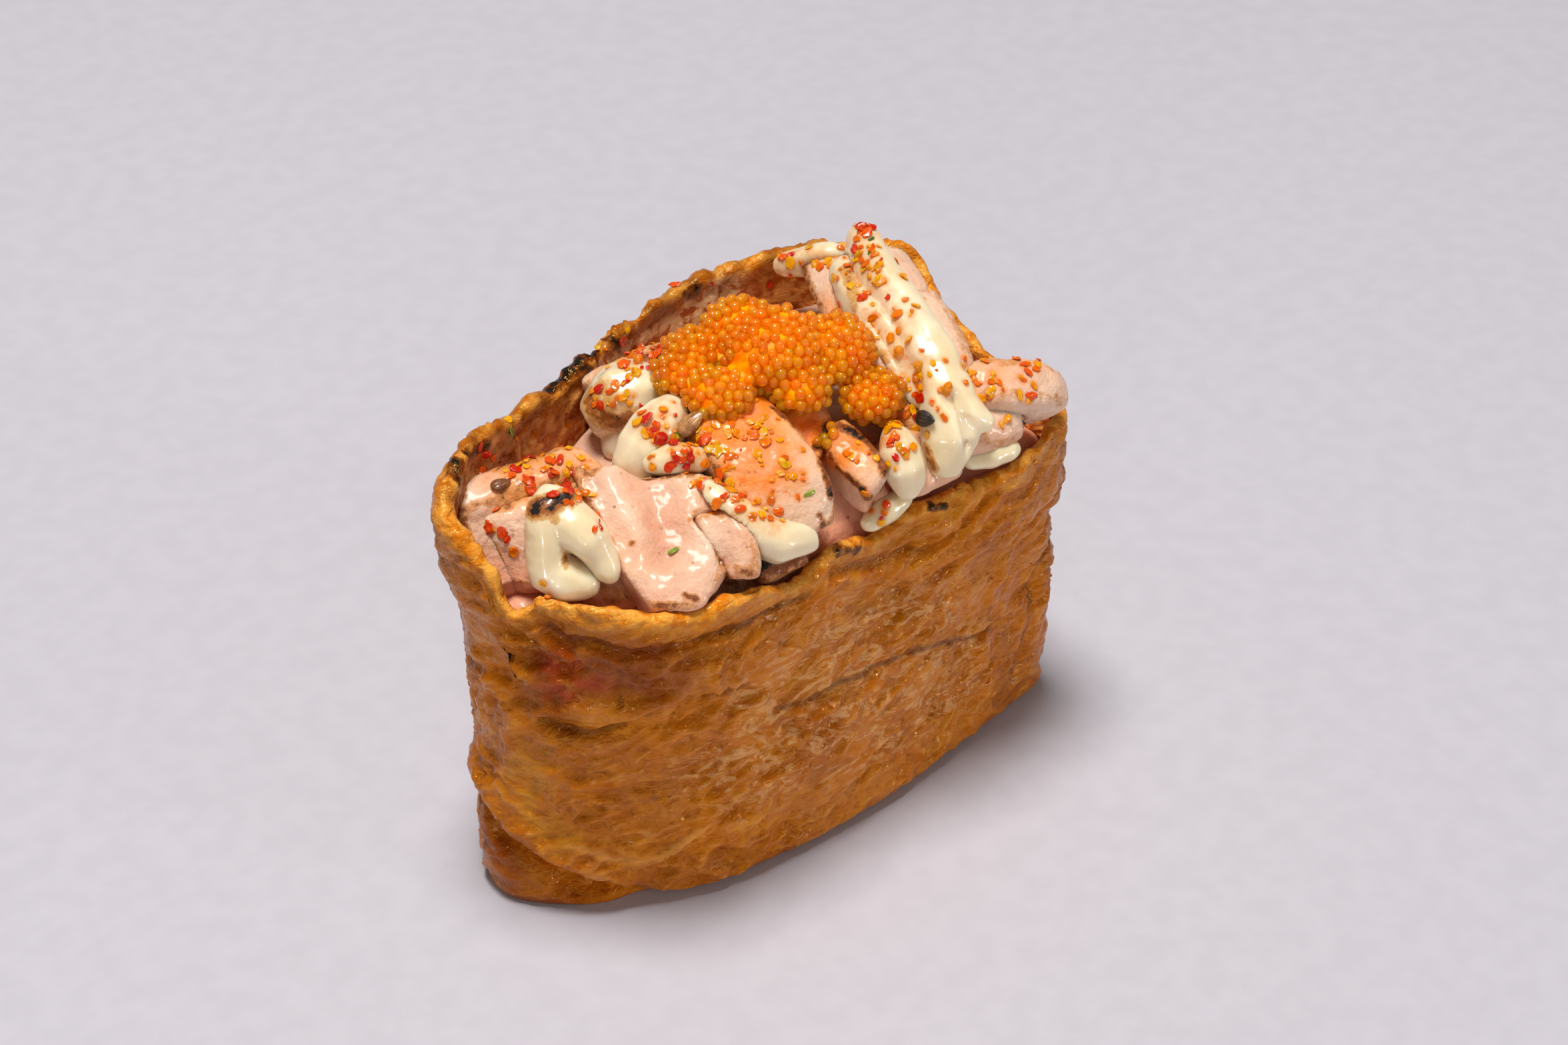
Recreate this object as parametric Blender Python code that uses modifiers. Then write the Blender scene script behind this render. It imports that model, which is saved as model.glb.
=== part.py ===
"""Inari sushi, about 63 mm long: a pocket of fried tofu skin that is filled and heaped
with salmon slices, torched mayonnaise and a mound of fish roe.

+X runs along the pocket to its blunt end, -Y is its front wall and +Z is up. The points
below are in millimetres and MM turns them into metres. MIDDLE is the middle of the
footprint in those points, and everything is moved so that it becomes the origin.
"""

import math

import bmesh
import bpy
from mathutils import Vector

MM = 0.001
MIDDLE = Vector((-1.34, 3.43, 0.0))
GAP = 0.3
WELD = 0.000001

# The pocket: how many points go round it, and its skin.
ROUND = 56
SKIN = 1.4
FLOOR = 31.5
BOTTOM_EDGE = 1.8
BELLY_AT = 0.72
LIP_AT = 0.87

# The notch torn in the rim beside the pointed end.
NOTCH = Vector((-30.4, -2.0))
NOTCH_DEPTH = 3.2
NOTCH_HALF = 2.2

# The folded corner of the bag at the pointed end, which spreads on the ground.
EAR_FROM_X = -18.0
EAR_RUN = 12.0
EAR_FOLD = 10.5
EAR_GROOVE = 1.9
EAR_GROOVE_HALF = 2.2

# The crease that crosses the front wall.
CREASE_HEIGHT = 24.0
CREASE_DEPTH = 0.5
CREASE_HALF = 1.5

# Each station of the outline, going round from the front corner of the blunt end: the
# ground outline, the belly at BELLY_AT of the height, and the rim with its height.
STATIONS = (
    ((29.4, -8.6), (28.6, -9.2), (28.6, -10.2, 36.9)),
    ((30.0, -2.5), (29.2, -3.0), (28.6, -4.5, 37.0)),
    ((29.6, 3.0), (29.0, 3.2), (27.9, 1.5, 38.6)),
    ((28.2, 8.5), (28.2, 8.6), (27.6, 7.2, 40.8)),
    ((24.5, 12.4), (26.4, 13.0), (27.8, 12.4, 44.6)),
    ((16.5, 14.2), (17.5, 16.4), (20.4, 17.4, 45.3)),
    ((8.0, 15.0), (8.5, 18.2), (11.0, 20.2, 45.2)),
    ((-1.0, 14.8), (-1.0, 18.0), (1.0, 20.0, 45.3)),
    ((-10.0, 13.6), (-10.5, 16.0), (-8.5, 17.2, 44.5)),
    ((-18.5, 12.0), (-19.0, 13.6), (-17.5, 14.6, 44.8)),
    ((-25.8, 10.0), (-26.4, 11.2), (-26.0, 11.4, 46.6)),
    ((-30.4, 5.4), (-30.9, 5.8), (-32.3, 6.6, 45.3)),
    ((-31.6, 1.5), (-30.6, 0.6), (-32.0, 1.5, 42.2)),
    ((-30.2, -1.8), (-29.4, -2.6), (-30.6, -1.4, 39.4)),
    ((-25.6, -5.9), (-26.0, -6.4), (-27.6, -4.8, 38.5)),
    ((-20.2, -9.2), (-20.5, -10.2), (-23.5, -9.8, 38.4)),
    ((-14.2, -11.3), (-14.5, -12.0), (-17.5, -12.3, 36.9)),
    ((-8.4, -12.2), (-8.5, -12.6), (-11.5, -12.7, 36.6)),
    ((-3.5, -12.5), (-4.0, -12.7), (-6.4, -12.2, 34.2)),
    ((1.5, -12.4), (1.0, -12.6), (-2.0, -11.9, 35.7)),
    ((7.5, -12.0), (6.5, -12.4), (3.0, -11.9, 34.9)),
    ((13.0, -11.5), (12.5, -12.1), (9.0, -12.2, 36.2)),
    ((19.0, -10.7), (18.5, -11.7), (15.0, -12.7, 35.5)),
    ((24.4, -9.9), (24.0, -10.8), (21.5, -13.0, 36.2)),
)
WALL_LEVELS = (0.02, 0.06, 0.13, 0.2, 0.28, 0.37, 0.47, 0.54, 0.61, 0.72, 0.8, 0.9)

# Salmon slices: name, thickness, and at each station along the slice the two edges of the
# face that shows.
SLICES = (
    ("salmon_deep_left", 3.0, (
        ((-24.0, -0.4, 38.0), (-22.4, -5.0, 36.4)),
        ((-20.6, 0.4, 38.4), (-19.2, -6.2, 36.4)),
        ((-17.0, 0.6, 38.2), (-16.0, -6.4, 36.2)),
    )),
    ("salmon_burnt_bit", 2.6, (
        ((-10.4, -8.4, 36.8), (-9.0, -10.8, 35.4)),
        ((-7.4, -8.8, 37.4), (-6.6, -11.0, 35.8)),
        ((-4.4, -9.2, 37.0), (-3.8, -11.2, 35.6)),
    )),
    ("salmon_outer_left", 9.0, (
        ((-30.6, 10.4, 42.4), (-29.0, 6.6, 42.0)),
        ((-25.4, 9.6, 42.9), (-24.2, 5.8, 42.6)),
        ((-20.9, 8.0, 43.2), (-20.2, 4.6, 43.0)),
        ((-16.6, 7.2, 43.3), (-16.4, 3.9, 43.2)),
    )),
    ("salmon_inner_left", 10.0, (
        ((-27.6, 6.2, 41.9), (-25.6, 3.4, 41.7)),
        ((-22.8, 5.0, 42.4), (-22.0, 1.9, 42.2)),
        ((-18.0, 3.8, 42.9), (-18.4, 1.0, 42.8)),
    )),
    ("salmon_centre_right", 4.0, (
        ((0.3, -0.2, 45.2), (5.2, -1.4, 44.4)),
        ((0.2, -3.5, 43.8), (4.6, -3.6, 43.4)),
        ((0.1, -6.6, 42.2), (3.4, -5.4, 42.0)),
    )),
    ("salmon_centre", 3.5, (
        ((-8.0, 2.0, 46.3), (-0.5, 1.4, 46.4)),
        ((-9.0, -2.5, 45.3), (-0.8, -3.6, 46.0)),
        ((-9.4, -5.5, 43.8), (-0.7, -6.8, 45.0)),
        ((-9.6, -8.0, 41.8), (-0.9, -9.3, 43.6)),
        ((-9.2, -9.4, 40.0), (-0.8, -10.8, 41.4)),
        ((-8.2, -10.3, 38.6), (-1.8, -11.8, 39.2)),
    )),
    ("salmon_front_lobe", 3.0, (
        ((-13.5, -6.0, 42.2), (-10.4, -7.2, 42.6)),
        ((-13.5, -8.5, 41.0), (-9.9, -10.0, 41.7)),
        ((-13.2, -10.4, 39.6), (-10.2, -11.9, 40.1)),
        ((-13.0, -11.4, 38.2), (-11.2, -12.5, 38.3)),
    )),
    ("salmon_front_flap", 3.6, (
        ((-19.1, 4.6, 44.5), (-9.6, -4.0, 43.6)),
        ((-20.3, 0.6, 43.0), (-10.3, -7.1, 42.5)),
        ((-20.9, -3.2, 41.5), (-11.6, -9.5, 41.0)),
        ((-21.1, -6.8, 39.5), (-13.4, -11.2, 39.4)),
        ((-20.9, -10.4, 37.6), (-16.9, -12.0, 37.6)),
    )),
    ("salmon_block", 4.5, (
        ((1.6, -5.0, 43.0), (5.0, -4.6, 43.8)),
        ((1.6, -9.0, 42.2), (5.2, -8.2, 43.2)),
        ((2.0, -12.2, 40.6), (5.0, -11.2, 42.0)),
    )),
    ("salmon_rim_right", 3.4, (
        ((7.6, -8.0, 41.5), (11.0, -8.4, 41.6)),
        ((8.0, -10.2, 39.8), (13.0, -10.2, 39.8)),
        ((8.4, -11.6, 37.8), (13.2, -11.8, 37.8)),
    )),
    ("salmon_seared_middle", 4.0, (
        ((10.6, 2.2, 46.6), (14.5, 1.7, 47.4)),
        ((10.2, -2.5, 45.6), (14.0, -3.5, 46.4)),
        ((9.6, -5.5, 43.6), (12.6, -7.0, 44.0)),
        ((9.2, -7.8, 41.8), (11.6, -9.0, 42.0)),
    )),
    ("salmon_upright", 4.0, (
        ((15.5, 14.9, 46.3), (18.2, 11.2, 47.8)),
        ((13.6, 9.6, 45.2), (15.8, 7.0, 47.2)),
        ((12.0, 5.1, 44.4), (13.8, 3.2, 46.2)),
    )),
    ("salmon_back_right", 5.0, (
        ((20.0, 11.4, 48.2), (24.2, 9.0, 46.7)),
        ((19.4, 6.8, 47.8), (23.0, 5.0, 46.4)),
        ((18.8, 3.6, 46.8), (21.8, 2.2, 45.6)),
    )),
    ("salmon_right", 5.0, (
        ((18.6, 2.6, 47.0), (21.6, 2.0, 46.8)),
        ((17.4, -1.5, 46.4), (20.6, -2.2, 46.2)),
        ((16.4, -5.4, 45.2), (18.6, -6.7, 44.7)),
    )),
    ("salmon_back_left", 5.0, (
        ((-11.0, 15.0, 43.8), (-10.0, 11.2, 43.4)),
        ((-6.2, 14.0, 45.4), (-7.4, 9.6, 45.4)),
        ((-2.5, 12.2, 46.4), (-4.2, 7.4, 46.2)),
        ((1.2, 9.6, 46.8), (-1.1, 5.4, 46.4)),
    )),
)

# The slice that is rolled over at the blunt end: its upper turn and the turn below.
ROLL_TURNS = (
    (4.0, (
        ((16.5, -5.5, 43.6), (16.6, -9.0, 42.6)),
        ((19.2, -7.0, 44.4), (19.2, -10.6, 42.9)),
        ((22.6, -8.2, 44.4), (21.6, -11.9, 42.4)),
        ((25.6, -9.6, 43.0), (24.4, -12.3, 41.0)),
        ((27.2, -10.2, 40.6), (26.0, -12.0, 39.4)),
    )),
    (3.0, (
        ((15.8, -8.0, 42.0), (15.6, -11.6, 40.4)),
        ((18.4, -9.6, 41.6), (17.4, -12.0, 38.4)),
        ((20.8, -11.0, 40.6), (20.4, -11.9, 38.6)),
    )),
)

# Mayonnaise: name, and strands of (x, y, z, radius). Thinner ones have fewer sides.
THIN_STRAND = 1.6
MAYONNAISE = (
    ("mayo_front_left", (
        ((-23.9, 0.5, 43.9, 2.2), (-25.0, -0.2, 42.6, 1.9), (-25.6, -0.8, 40.8, 1.7),
         (-25.8, -1.5, 39.2, 1.8), (-25.0, -2.6, 38.6, 1.8), (-23.8, -3.8, 38.4, 1.3)),
        ((-23.7, 0.2, 43.6, 2.0), (-23.2, -1.8, 43.0, 1.9), (-22.6, -3.4, 42.2, 1.6),
         (-22.2, -4.4, 40.8, 1.1), (-22.1, -5.3, 39.6, 0.8)),
    )),
    ("mayo_ball", (
        ((-10.2, 10.4, 43.2, 3.1), (-9.0, 10.0, 43.8, 3.4), (-7.6, 9.2, 44.4, 3.0)),
        ((-9.8, 9.2, 42.4, 1.8), (-10.4, 8.8, 41.0, 1.7), (-10.8, 8.4, 39.6, 1.7)),
    )),
    ("mayo_tongue", (
        ((-8.8, 3.8, 45.2, 2.1), (-10.4, 3.2, 44.8, 2.6), (-12.1, 2.9, 43.6, 2.6),
         (-13.3, 2.8, 42.2, 2.1)),
    )),
    ("mayo_dollop", (
        ((-12.8, 0.4, 44.0, 1.2), (-11.2, -0.8, 44.2, 1.5), (-9.6, -1.8, 44.2, 1.2)),
    )),
    ("mayo_front_edge", (
        ((-10.6, -5.2, 42.8, 1.3), (-9.9, -7.6, 41.6, 1.7), (-8.9, -9.4, 40.2, 2.0),
         (-7.2, -10.8, 39.2, 2.0), (-5.2, -11.4, 38.8, 1.5)),
    )),
    ("mayo_drop", (
        ((7.7, -9.0, 42.6, 1.4), (7.3, -10.2, 42.0, 1.8), (7.0, -11.3, 40.8, 1.9),
         (7.0, -11.7, 39.6, 1.6)),
    )),
    ("mayo_rope", (
        ((18.8, 9.4, 50.2, 1.5), (17.7, 6.8, 49.8, 1.8), (16.8, 4.0, 49.2, 2.0),
         (16.4, 1.2, 48.6, 2.1), (15.7, -1.6, 48.0, 2.1), (15.0, -4.3, 47.4, 2.2),
         (14.8, -6.2, 46.3, 2.3), (14.2, -8.1, 45.1, 2.5), (13.4, -10.0, 43.5, 2.8),
         (12.4, -11.2, 41.6, 2.7), (11.7, -11.8, 40.2, 2.0)),
        ((16.6, 9.4, 47.6, 1.4), (14.8, 5.4, 47.4, 1.7), (13.8, 1.0, 47.2, 1.9),
         (13.2, -3.0, 45.8, 2.1), (12.4, -6.4, 43.8, 1.8)),
        ((13.4, -10.4, 43.6, 2.4), (14.6, -11.6, 43.4, 1.9), (15.4, -12.6, 43.2, 0.9)),
    )),
    ("mayo_rim_front", (
        ((3.2, -10.9, 36.2, 0.8), (5.2, -11.0, 36.8, 1.2), (7.2, -11.0, 37.2, 1.0)),
    )),
    ("mayo_rim_right", (
        ((15.4, -11.2, 37.8, 0.8), (17.4, -11.6, 37.6, 1.1), (19.4, -11.9, 37.4, 0.9)),
    )),
    ("mayo_back_ridge", (
        ((14.6, 16.0, 45.4, 1.1), (16.2, 14.4, 46.0, 1.4), (17.8, 12.2, 47.0, 1.5)),
    )),
)

# Mounds that make up the heap of roe: middle and radii.
ROE_MOUNDS = (
    ((3.0, 2.5, 48.0), (5.6, 5.0, 3.6)),
    ((2.4, 7.4, 48.2), (3.8, 3.6, 2.6)),
    ((-2.8, 7.6, 47.4), (3.0, 3.0, 2.0)),
    ((7.6, 0.2, 47.4), (4.4, 4.2, 2.8)),
    ((8.4, -4.8, 44.8), (3.2, 3.0, 2.2)),
    ((-4.4, 1.6, 47.0), (3.4, 3.2, 2.2)),
    ((-5.4, 5.8, 46.8), (2.8, 3.0, 2.2)),
    ((2.4, -2.0, 46.6), (3.0, 2.6, 2.2)),
)

# The bed of salmon under the slices: the height of its edge at the front wall and at the
# back wall, and its dome as shares of the way in and of the rise.
BED_EDGE_FRONT = 33.5
BED_EDGE_BACK = 39.5
BED_BACK_FROM = Vector((-19.0, 1.0))
BED_BACK_RUN = 9.0
BED_TOP = 40.8
BED_LEVELS = ((1.0, 0.0), (0.95, 0.1), (0.75, 0.3), (0.5, 0.85), (0.25, 1.0))

LOOKS = {
    "tofu": ((0.46, 0.20, 0.055, 1.0), 0.35),
    "salmon": ((0.85, 0.47, 0.36, 1.0), 0.4),
    "mayonnaise": ((0.88, 0.82, 0.63, 1.0), 0.3),
    "roe": ((0.92, 0.36, 0.03, 1.0), 0.15),
}


# --- Helpers -------------------------------------------------------------------------


def material(name):
    colour, roughness = LOOKS[name]
    made = bpy.data.materials.new(name)
    made.use_nodes = True
    surface = made.node_tree.nodes["Principled BSDF"]
    surface.inputs["Base Color"].default_value = colour
    surface.inputs["Roughness"].default_value = roughness
    surface.inputs["Metallic"].default_value = 0.0
    return made


def between(a, b, c, d, t):
    """The Catmull-Rom curve from b to c at t, one number at a time."""
    return tuple(
        0.5 * (2 * q + (r - p) * t + (2 * p - 5 * q + 4 * r - s) * t**2 + (3 * q - p - 3 * r + s) * t**3)
        for p, q, r, s in zip(a, b, c, d)
    )


def smooth_loop(stations, count):
    """A closed smooth curve through the stations, as count points."""
    points = []
    for i in range(count):
        place = i * len(stations) / count
        first = int(place)
        near = [stations[(first + k) % len(stations)] for k in (-1, 0, 1, 2)]
        points.append(between(*near, place - first))
    return points


def smoothstep(x):
    x = min(max(x, 0.0), 1.0)
    return x * x * (3 - 2 * x)


def object_of(name, points, faces):
    """A mesh object from points in millimetres, with its faces turned outwards."""
    mesh = bpy.data.meshes.new(name)
    mesh.from_pydata([(Vector(p) - MIDDLE) * MM for p in points], [], faces)
    build = bmesh.new()
    build.from_mesh(mesh)
    bmesh.ops.recalc_face_normals(build, faces=build.faces)
    build.to_mesh(mesh)
    build.free()
    made = bpy.data.objects.new(name, mesh)
    parts.objects.link(made)
    return made


def rings_closed(rings, cap_low=True, cap_high=True):
    """Points and faces of a body made of rings with as many points each, its ends capped."""
    count = len(rings[0])
    points = [p for ring in rings for p in ring]
    faces = []
    for level in range(len(rings) - 1):
        low = level * count
        for i in range(count):
            j = (i + 1) % count
            faces.append((low + i, low + j, low + count + j, low + count + i))
    if cap_low:
        faces.append(tuple(range(count)))
    if cap_high:
        faces.append(tuple(range((len(rings) - 1) * count, len(rings) * count)))
    return points, faces


def applied(made):
    """The object with its modifiers, or its curve, turned into a plain mesh."""
    bpy.context.view_layer.update()
    graph = bpy.context.evaluated_depsgraph_get()
    mesh = bpy.data.meshes.new_from_object(made.evaluated_get(graph))
    mesh.name = made.name
    name = made.name
    bpy.data.objects.remove(made)
    made = bpy.data.objects.new(name, mesh)
    parts.objects.link(made)
    return made


def boolean(made, other, operation):
    """Adds or takes away the other body. All are closed, and Exact loses the long strands."""
    step = made.modifiers.new(operation.lower(), "BOOLEAN")
    step.operation = operation
    step.solver = "MANIFOLD"
    step.object = other
    return applied(made)


def joined(first, others):
    """One body of several that overlap."""
    for other in others:
        first = boolean(first, other, "UNION")
        bpy.data.objects.remove(other)
    return first


def largest_body(made):
    """Keeps the largest body of a mesh that the cuts have split."""
    build = bmesh.new()
    build.from_mesh(made.data)
    left = set(build.verts)
    bodies = []
    while left:
        body = set()
        front = [left.pop()]
        while front:
            vert = front.pop()
            body.add(vert)
            for edge in vert.link_edges:
                other = edge.other_vert(vert)
                if other in left:
                    left.remove(other)
                    front.append(other)
        bodies.append(body)
    bodies.sort(key=len)
    for body in bodies[:-1]:
        bmesh.ops.delete(build, geom=list(body), context="VERTS")
    build.to_mesh(made.data)
    build.free()


def box_of(made):
    places = [v.co for v in made.data.vertices]
    return [(min(p[k] for p in places), max(p[k] for p in places)) for k in range(3)]


def boxes_meet(a, b):
    reach = GAP * MM
    return all(p[0] - reach < q[1] and q[0] - reach < p[1] for p, q in zip(box_of(a), box_of(b)))


def cut_clear(made, others):
    """Cuts the piece back until it lies GAP away from each of the others."""
    for other in others:
        if not boxes_meet(made, other):
            continue
        cutter = bpy.data.objects.new("cutter", other.data.copy())
        cutters.objects.link(cutter)
        cutter.hide_render = True
        cutter.display_type = "WIRE"
        grow = cutter.modifiers.new("grow", "DISPLACE")
        grow.mid_level = 0.0
        grow.strength = GAP * MM
        made = boolean(made, cutter, "DIFFERENCE")
        bpy.data.objects.remove(cutter)
    largest_body(made)
    return made


# --- The pocket: one bag of fried tofu, its mouth spread by what fills it ----------------


def outward(ring, i):
    """The level direction out of a ring at one of its points."""
    before = ring[i - 1]
    after = ring[(i + 1) % len(ring)]
    along = Vector((after[0] - before[0], after[1] - before[1], 0.0)).normalized()
    return Vector((along.y, -along.x, 0.0))


def moved_in(ring, distance, drop=0.0):
    return [
        Vector(p) - outward(ring, i) * distance - Vector((0.0, 0.0, drop))
        for i, p in enumerate(ring)
    ]


def wall_ring(level):
    """The outer wall at a share of its height, with the notch, ear, crease and rounded foot."""
    base = smooth_loop([s[0] for s in STATIONS], ROUND)
    belly = smooth_loop([s[1] for s in STATIONS], ROUND)
    rim = smooth_loop([s[2] for s in STATIONS], ROUND)
    ring = []
    for b, m, r in zip(base, belly, rim):
        if level < BELLY_AT:
            share = smoothstep(level / BELLY_AT)
            x, y = (b[k] + (m[k] - b[k]) * share for k in (0, 1))
        else:
            share = smoothstep((level - BELLY_AT) / (LIP_AT - BELLY_AT))
            x, y = (m[k] + (r[k] - m[k]) * share for k in (0, 1))
        notch = max(0.0, 1 - (Vector(r[:2]) - NOTCH).length / NOTCH_HALF)
        ring.append(Vector((x, y, level * (r[2] - NOTCH_DEPTH * notch))))
    shaped = []
    for i, p in enumerate(ring):
        ear = smoothstep((EAR_FROM_X - p.x) / EAR_RUN)
        fold = 1.5 + (EAR_FOLD - 1.5) * ear
        inset = EAR_GROOVE * ear * math.exp(-(((p.z - fold) / EAR_GROOVE_HALF) ** 2))
        if p.y < 0:
            inset += CREASE_DEPTH * math.exp(-(((p.z - CREASE_HEIGHT) / CREASE_HALF) ** 2))
        if p.z < BOTTOM_EDGE:
            radius = BOTTOM_EDGE * (1 - 0.8 * ear)
            inset += radius * (1 - math.sqrt(1 - (1 - p.z / BOTTOM_EDGE) ** 2))
        shaped.append(p - outward(ring, i) * inset)
    return shaped


def tofu_pocket():
    rim = wall_ring(1.0)
    rings = [wall_ring(0.0)]
    rings += [wall_ring(level) for level in WALL_LEVELS]
    rings += [moved_in(rim, 0.1, 0.7), moved_in(rim, SKIN * 0.3), moved_in(rim, SKIN * 0.75)]
    rings += [moved_in(rim, SKIN, 0.8)]
    inner = moved_in(rim, SKIN + 0.4)
    rings += [[Vector((p.x, p.y, (p.z + FLOOR) / 2)) for p in inner]]
    foot = moved_in(rim, SKIN + 0.9)
    rings += [[Vector((p.x, p.y, FLOOR)) for p in foot]]
    pocket = object_of("pocket", *rings_closed(rings))
    pocket.data.materials.append(material("tofu"))
    return pocket


def salmon_bed(look):
    """The salmon seen deep in the gaps between the slices, domed and clear of the pocket."""
    outline = moved_in(wall_ring(1.0), SKIN + 0.9 + GAP)
    middle = sum((Vector((p.x, p.y, 0.0)) for p in outline), Vector()) / len(outline)
    rings = [[Vector((p.x, p.y, FLOOR + GAP)) for p in outline]]
    for share, rise in BED_LEVELS:
        ring = []
        for p in outline:
            spot = middle + (Vector((p.x, p.y, 0.0)) - middle) * share
            along = (spot.xy - BED_BACK_FROM) / BED_BACK_RUN
            back = smoothstep(along.x) * smoothstep(along.y)
            edge = BED_EDGE_FRONT + (BED_EDGE_BACK - BED_EDGE_FRONT) * back
            ring.append(Vector((spot.x, spot.y, edge + (BED_TOP - edge) * rise)))
        rings.append(ring)
    rings = [ring[::2] for ring in rings]
    bed = object_of("salmon_bed", *rings_closed(rings))
    bed.data.materials.append(look)
    return bed


# --- Salmon slices ----------------------------------------------------------------------


def slice_body(name, thickness, edges):
    """A slab through pairs of edge points, thick away from the face that they bound."""
    middles = [(Vector(a) + Vector(b)) / 2 for a, b in edges]
    rings = []
    for i, (a, b) in enumerate(edges):
        a, b = Vector(a), Vector(b)
        along = middles[min(i + 1, len(edges) - 1)] - middles[max(i - 1, 0)]
        up = (b - a).cross(along).normalized()
        if up.z < 0:
            up = -up
        top = [a.lerp(b, k / 3) + up * (0.35 if k in (1, 2) else 0.0) for k in range(4)]
        low = [p - up * thickness for p in reversed(top)]
        rings.append(top + low)
    points, faces = rings_closed(rings, cap_low=False, cap_high=False)
    for start in (0, (len(rings) - 1) * 8):
        for k in range(3):
            faces.append((start + k, start + k + 1, start + 6 - k, start + 7 - k))
    made = object_of(name, points, faces)
    crease = made.data.attributes.new("crease_edge", "FLOAT", "EDGE")
    for edge in made.data.edges:
        a, b = (k % 8 for k in edge.vertices)
        long_edge = a == b and a in (0, 3, 4, 7)
        ring_edge = a != b and {edge.vertices[0] // 8, edge.vertices[1] // 8} <= {0, len(rings) - 1}
        if long_edge or ring_edge:
            crease.data[edge.index].value = 0.45
    subdivide = made.modifiers.new("subdivide", "SUBSURF")
    subdivide.levels = subdivide.render_levels = 1
    return applied(made)


# --- Mayonnaise ---------------------------------------------------------------------------


def strand_body(name, points):
    """A thick strand through points with a radius each, its ends drawn in."""
    places = [Vector(p[:3]) for p in points]
    radii = [p[3] for p in points]
    first = (places[0] - places[1]).normalized()
    last = (places[-1] - places[-2]).normalized()
    places = [places[0] + first * radii[0] * 0.8, *places, places[-1] + last * radii[-1] * 0.8]
    radii = [radii[0] * 0.55, *radii, radii[-1] * 0.55]
    curve = bpy.data.curves.new(name, "CURVE")
    curve.dimensions = "3D"
    curve.bevel_depth = MM
    curve.bevel_resolution = 2 if max(radii) > THIN_STRAND else 1
    curve.use_fill_caps = True
    spline = curve.splines.new("POLY")
    spline.points.add(len(places) - 1)
    for point, place, radius in zip(spline.points, places, radii):
        point.co = (*((place - MIDDLE) * MM), 1.0)
        point.radius = radius
    made = bpy.data.objects.new(name, curve)
    parts.objects.link(made)
    made = applied(made)
    build = bmesh.new()
    build.from_mesh(made.data)
    bmesh.ops.remove_doubles(build, verts=build.verts, dist=WELD)
    build.to_mesh(made.data)
    build.free()
    return made


# --- Roe --------------------------------------------------------------------------------


def mound(middle, radii):
    bpy.ops.mesh.primitive_uv_sphere_add(segments=9, ring_count=6, radius=1.0)
    made = bpy.context.object
    made.name = "roe_heap"
    for vert in made.data.vertices:
        spread = Vector(v * r for v, r in zip(vert.co, radii))
        vert.co = (Vector(middle) + spread - MIDDLE) * MM
    for collection in list(made.users_collection):
        collection.objects.unlink(made)
    parts.objects.link(made)
    return made


# --- The whole piece -----------------------------------------------------------------------

for old in list(bpy.data.objects):
    bpy.data.objects.remove(old)
parts = bpy.data.collections.new("inari_sushi")
cutters = bpy.data.collections.new("cutters")
for collection in (parts, cutters):
    bpy.context.scene.collection.children.link(collection)

salmon = material("salmon")
mayonnaise = material("mayonnaise")

placed = [tofu_pocket()]


def place(made, look):
    """Cuts the piece clear of all that are placed already and gives it its material."""
    made = cut_clear(made, placed)
    made.data.materials.clear()
    made.data.materials.append(look)
    made.data.shade_smooth()
    placed.append(made)


place(salmon_bed(salmon), salmon)
for name, thickness, edges in SLICES:
    place(slice_body(name, thickness, edges), salmon)
turns = [slice_body(name, *turn) for name, turn in zip(("salmon_roll", "turn"), ROLL_TURNS)]
place(joined(turns[0], turns[1:]), salmon)
for name, strands in MAYONNAISE:
    bodies = [strand_body(name if i == 0 else "strand", s) for i, s in enumerate(strands)]
    place(joined(bodies[0], bodies[1:]), mayonnaise)
roe = [mound(*values) for values in ROE_MOUNDS]
place(joined(roe[0], roe[1:]), material("roe"))
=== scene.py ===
"""Inari sushi, dressed: a pocket of fried tofu skin, salmon slices torched on top, torched
mayonnaise and a mound of fish roe, with chilli flakes, sesame and herbs strewn over it.

Places are written in millimetres from the middle of the footprint and turned into metres
when a mesh is made. +X runs to the blunt end, -Y is the front wall and +Z is up.
"""

import math

import bmesh
import bpy
import numpy as np
from mathutils import Matrix, Quaternion, Vector, noise
from mathutils.bvhtree import BVHTree
from mathutils.kdtree import KDTree


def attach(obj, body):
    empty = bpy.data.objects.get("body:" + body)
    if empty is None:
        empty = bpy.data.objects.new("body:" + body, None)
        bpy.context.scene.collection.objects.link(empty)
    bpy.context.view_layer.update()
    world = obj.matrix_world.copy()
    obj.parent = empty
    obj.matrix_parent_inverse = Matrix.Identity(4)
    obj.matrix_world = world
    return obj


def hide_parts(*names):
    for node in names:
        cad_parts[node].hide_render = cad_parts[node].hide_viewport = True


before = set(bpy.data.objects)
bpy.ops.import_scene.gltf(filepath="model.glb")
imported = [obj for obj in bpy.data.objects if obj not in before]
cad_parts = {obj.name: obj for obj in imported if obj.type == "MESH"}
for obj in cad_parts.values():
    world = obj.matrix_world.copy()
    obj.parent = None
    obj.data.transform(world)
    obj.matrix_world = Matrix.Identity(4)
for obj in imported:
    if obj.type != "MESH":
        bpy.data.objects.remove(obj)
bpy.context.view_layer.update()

# --- The pocket -----------------------------------------------------------------------
# One bag of tofu skin, fried and then simmered, so it is oily, crumpled and stringy. It is cut
# open and its mouth spread; the lip is a thick torn edge that the torch has caught in places.
# The folded corner of the bag spreads on the ground at the pointed end.

MM = 0.001
COLUMNS = 520
WALL_ROWS = 128
LIP_ROWS = 9
INNER_ROWS = 40
SKIN = 1.5
FLOOR = 31.5
# The wall runs from its foot to its belly by this share of its height, then out to the rim.
BELLY_AT = 0.72
RIM_RUN = 0.15
FOOT_EDGE = 1.8
FRONT_Y = -3.43
CREASE_Z, CREASE_HALF, CREASE_DEPTH = 24.0, 1.5, 0.5
EAR_X, EAR_RUN = -14.0, 12.0

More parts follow.
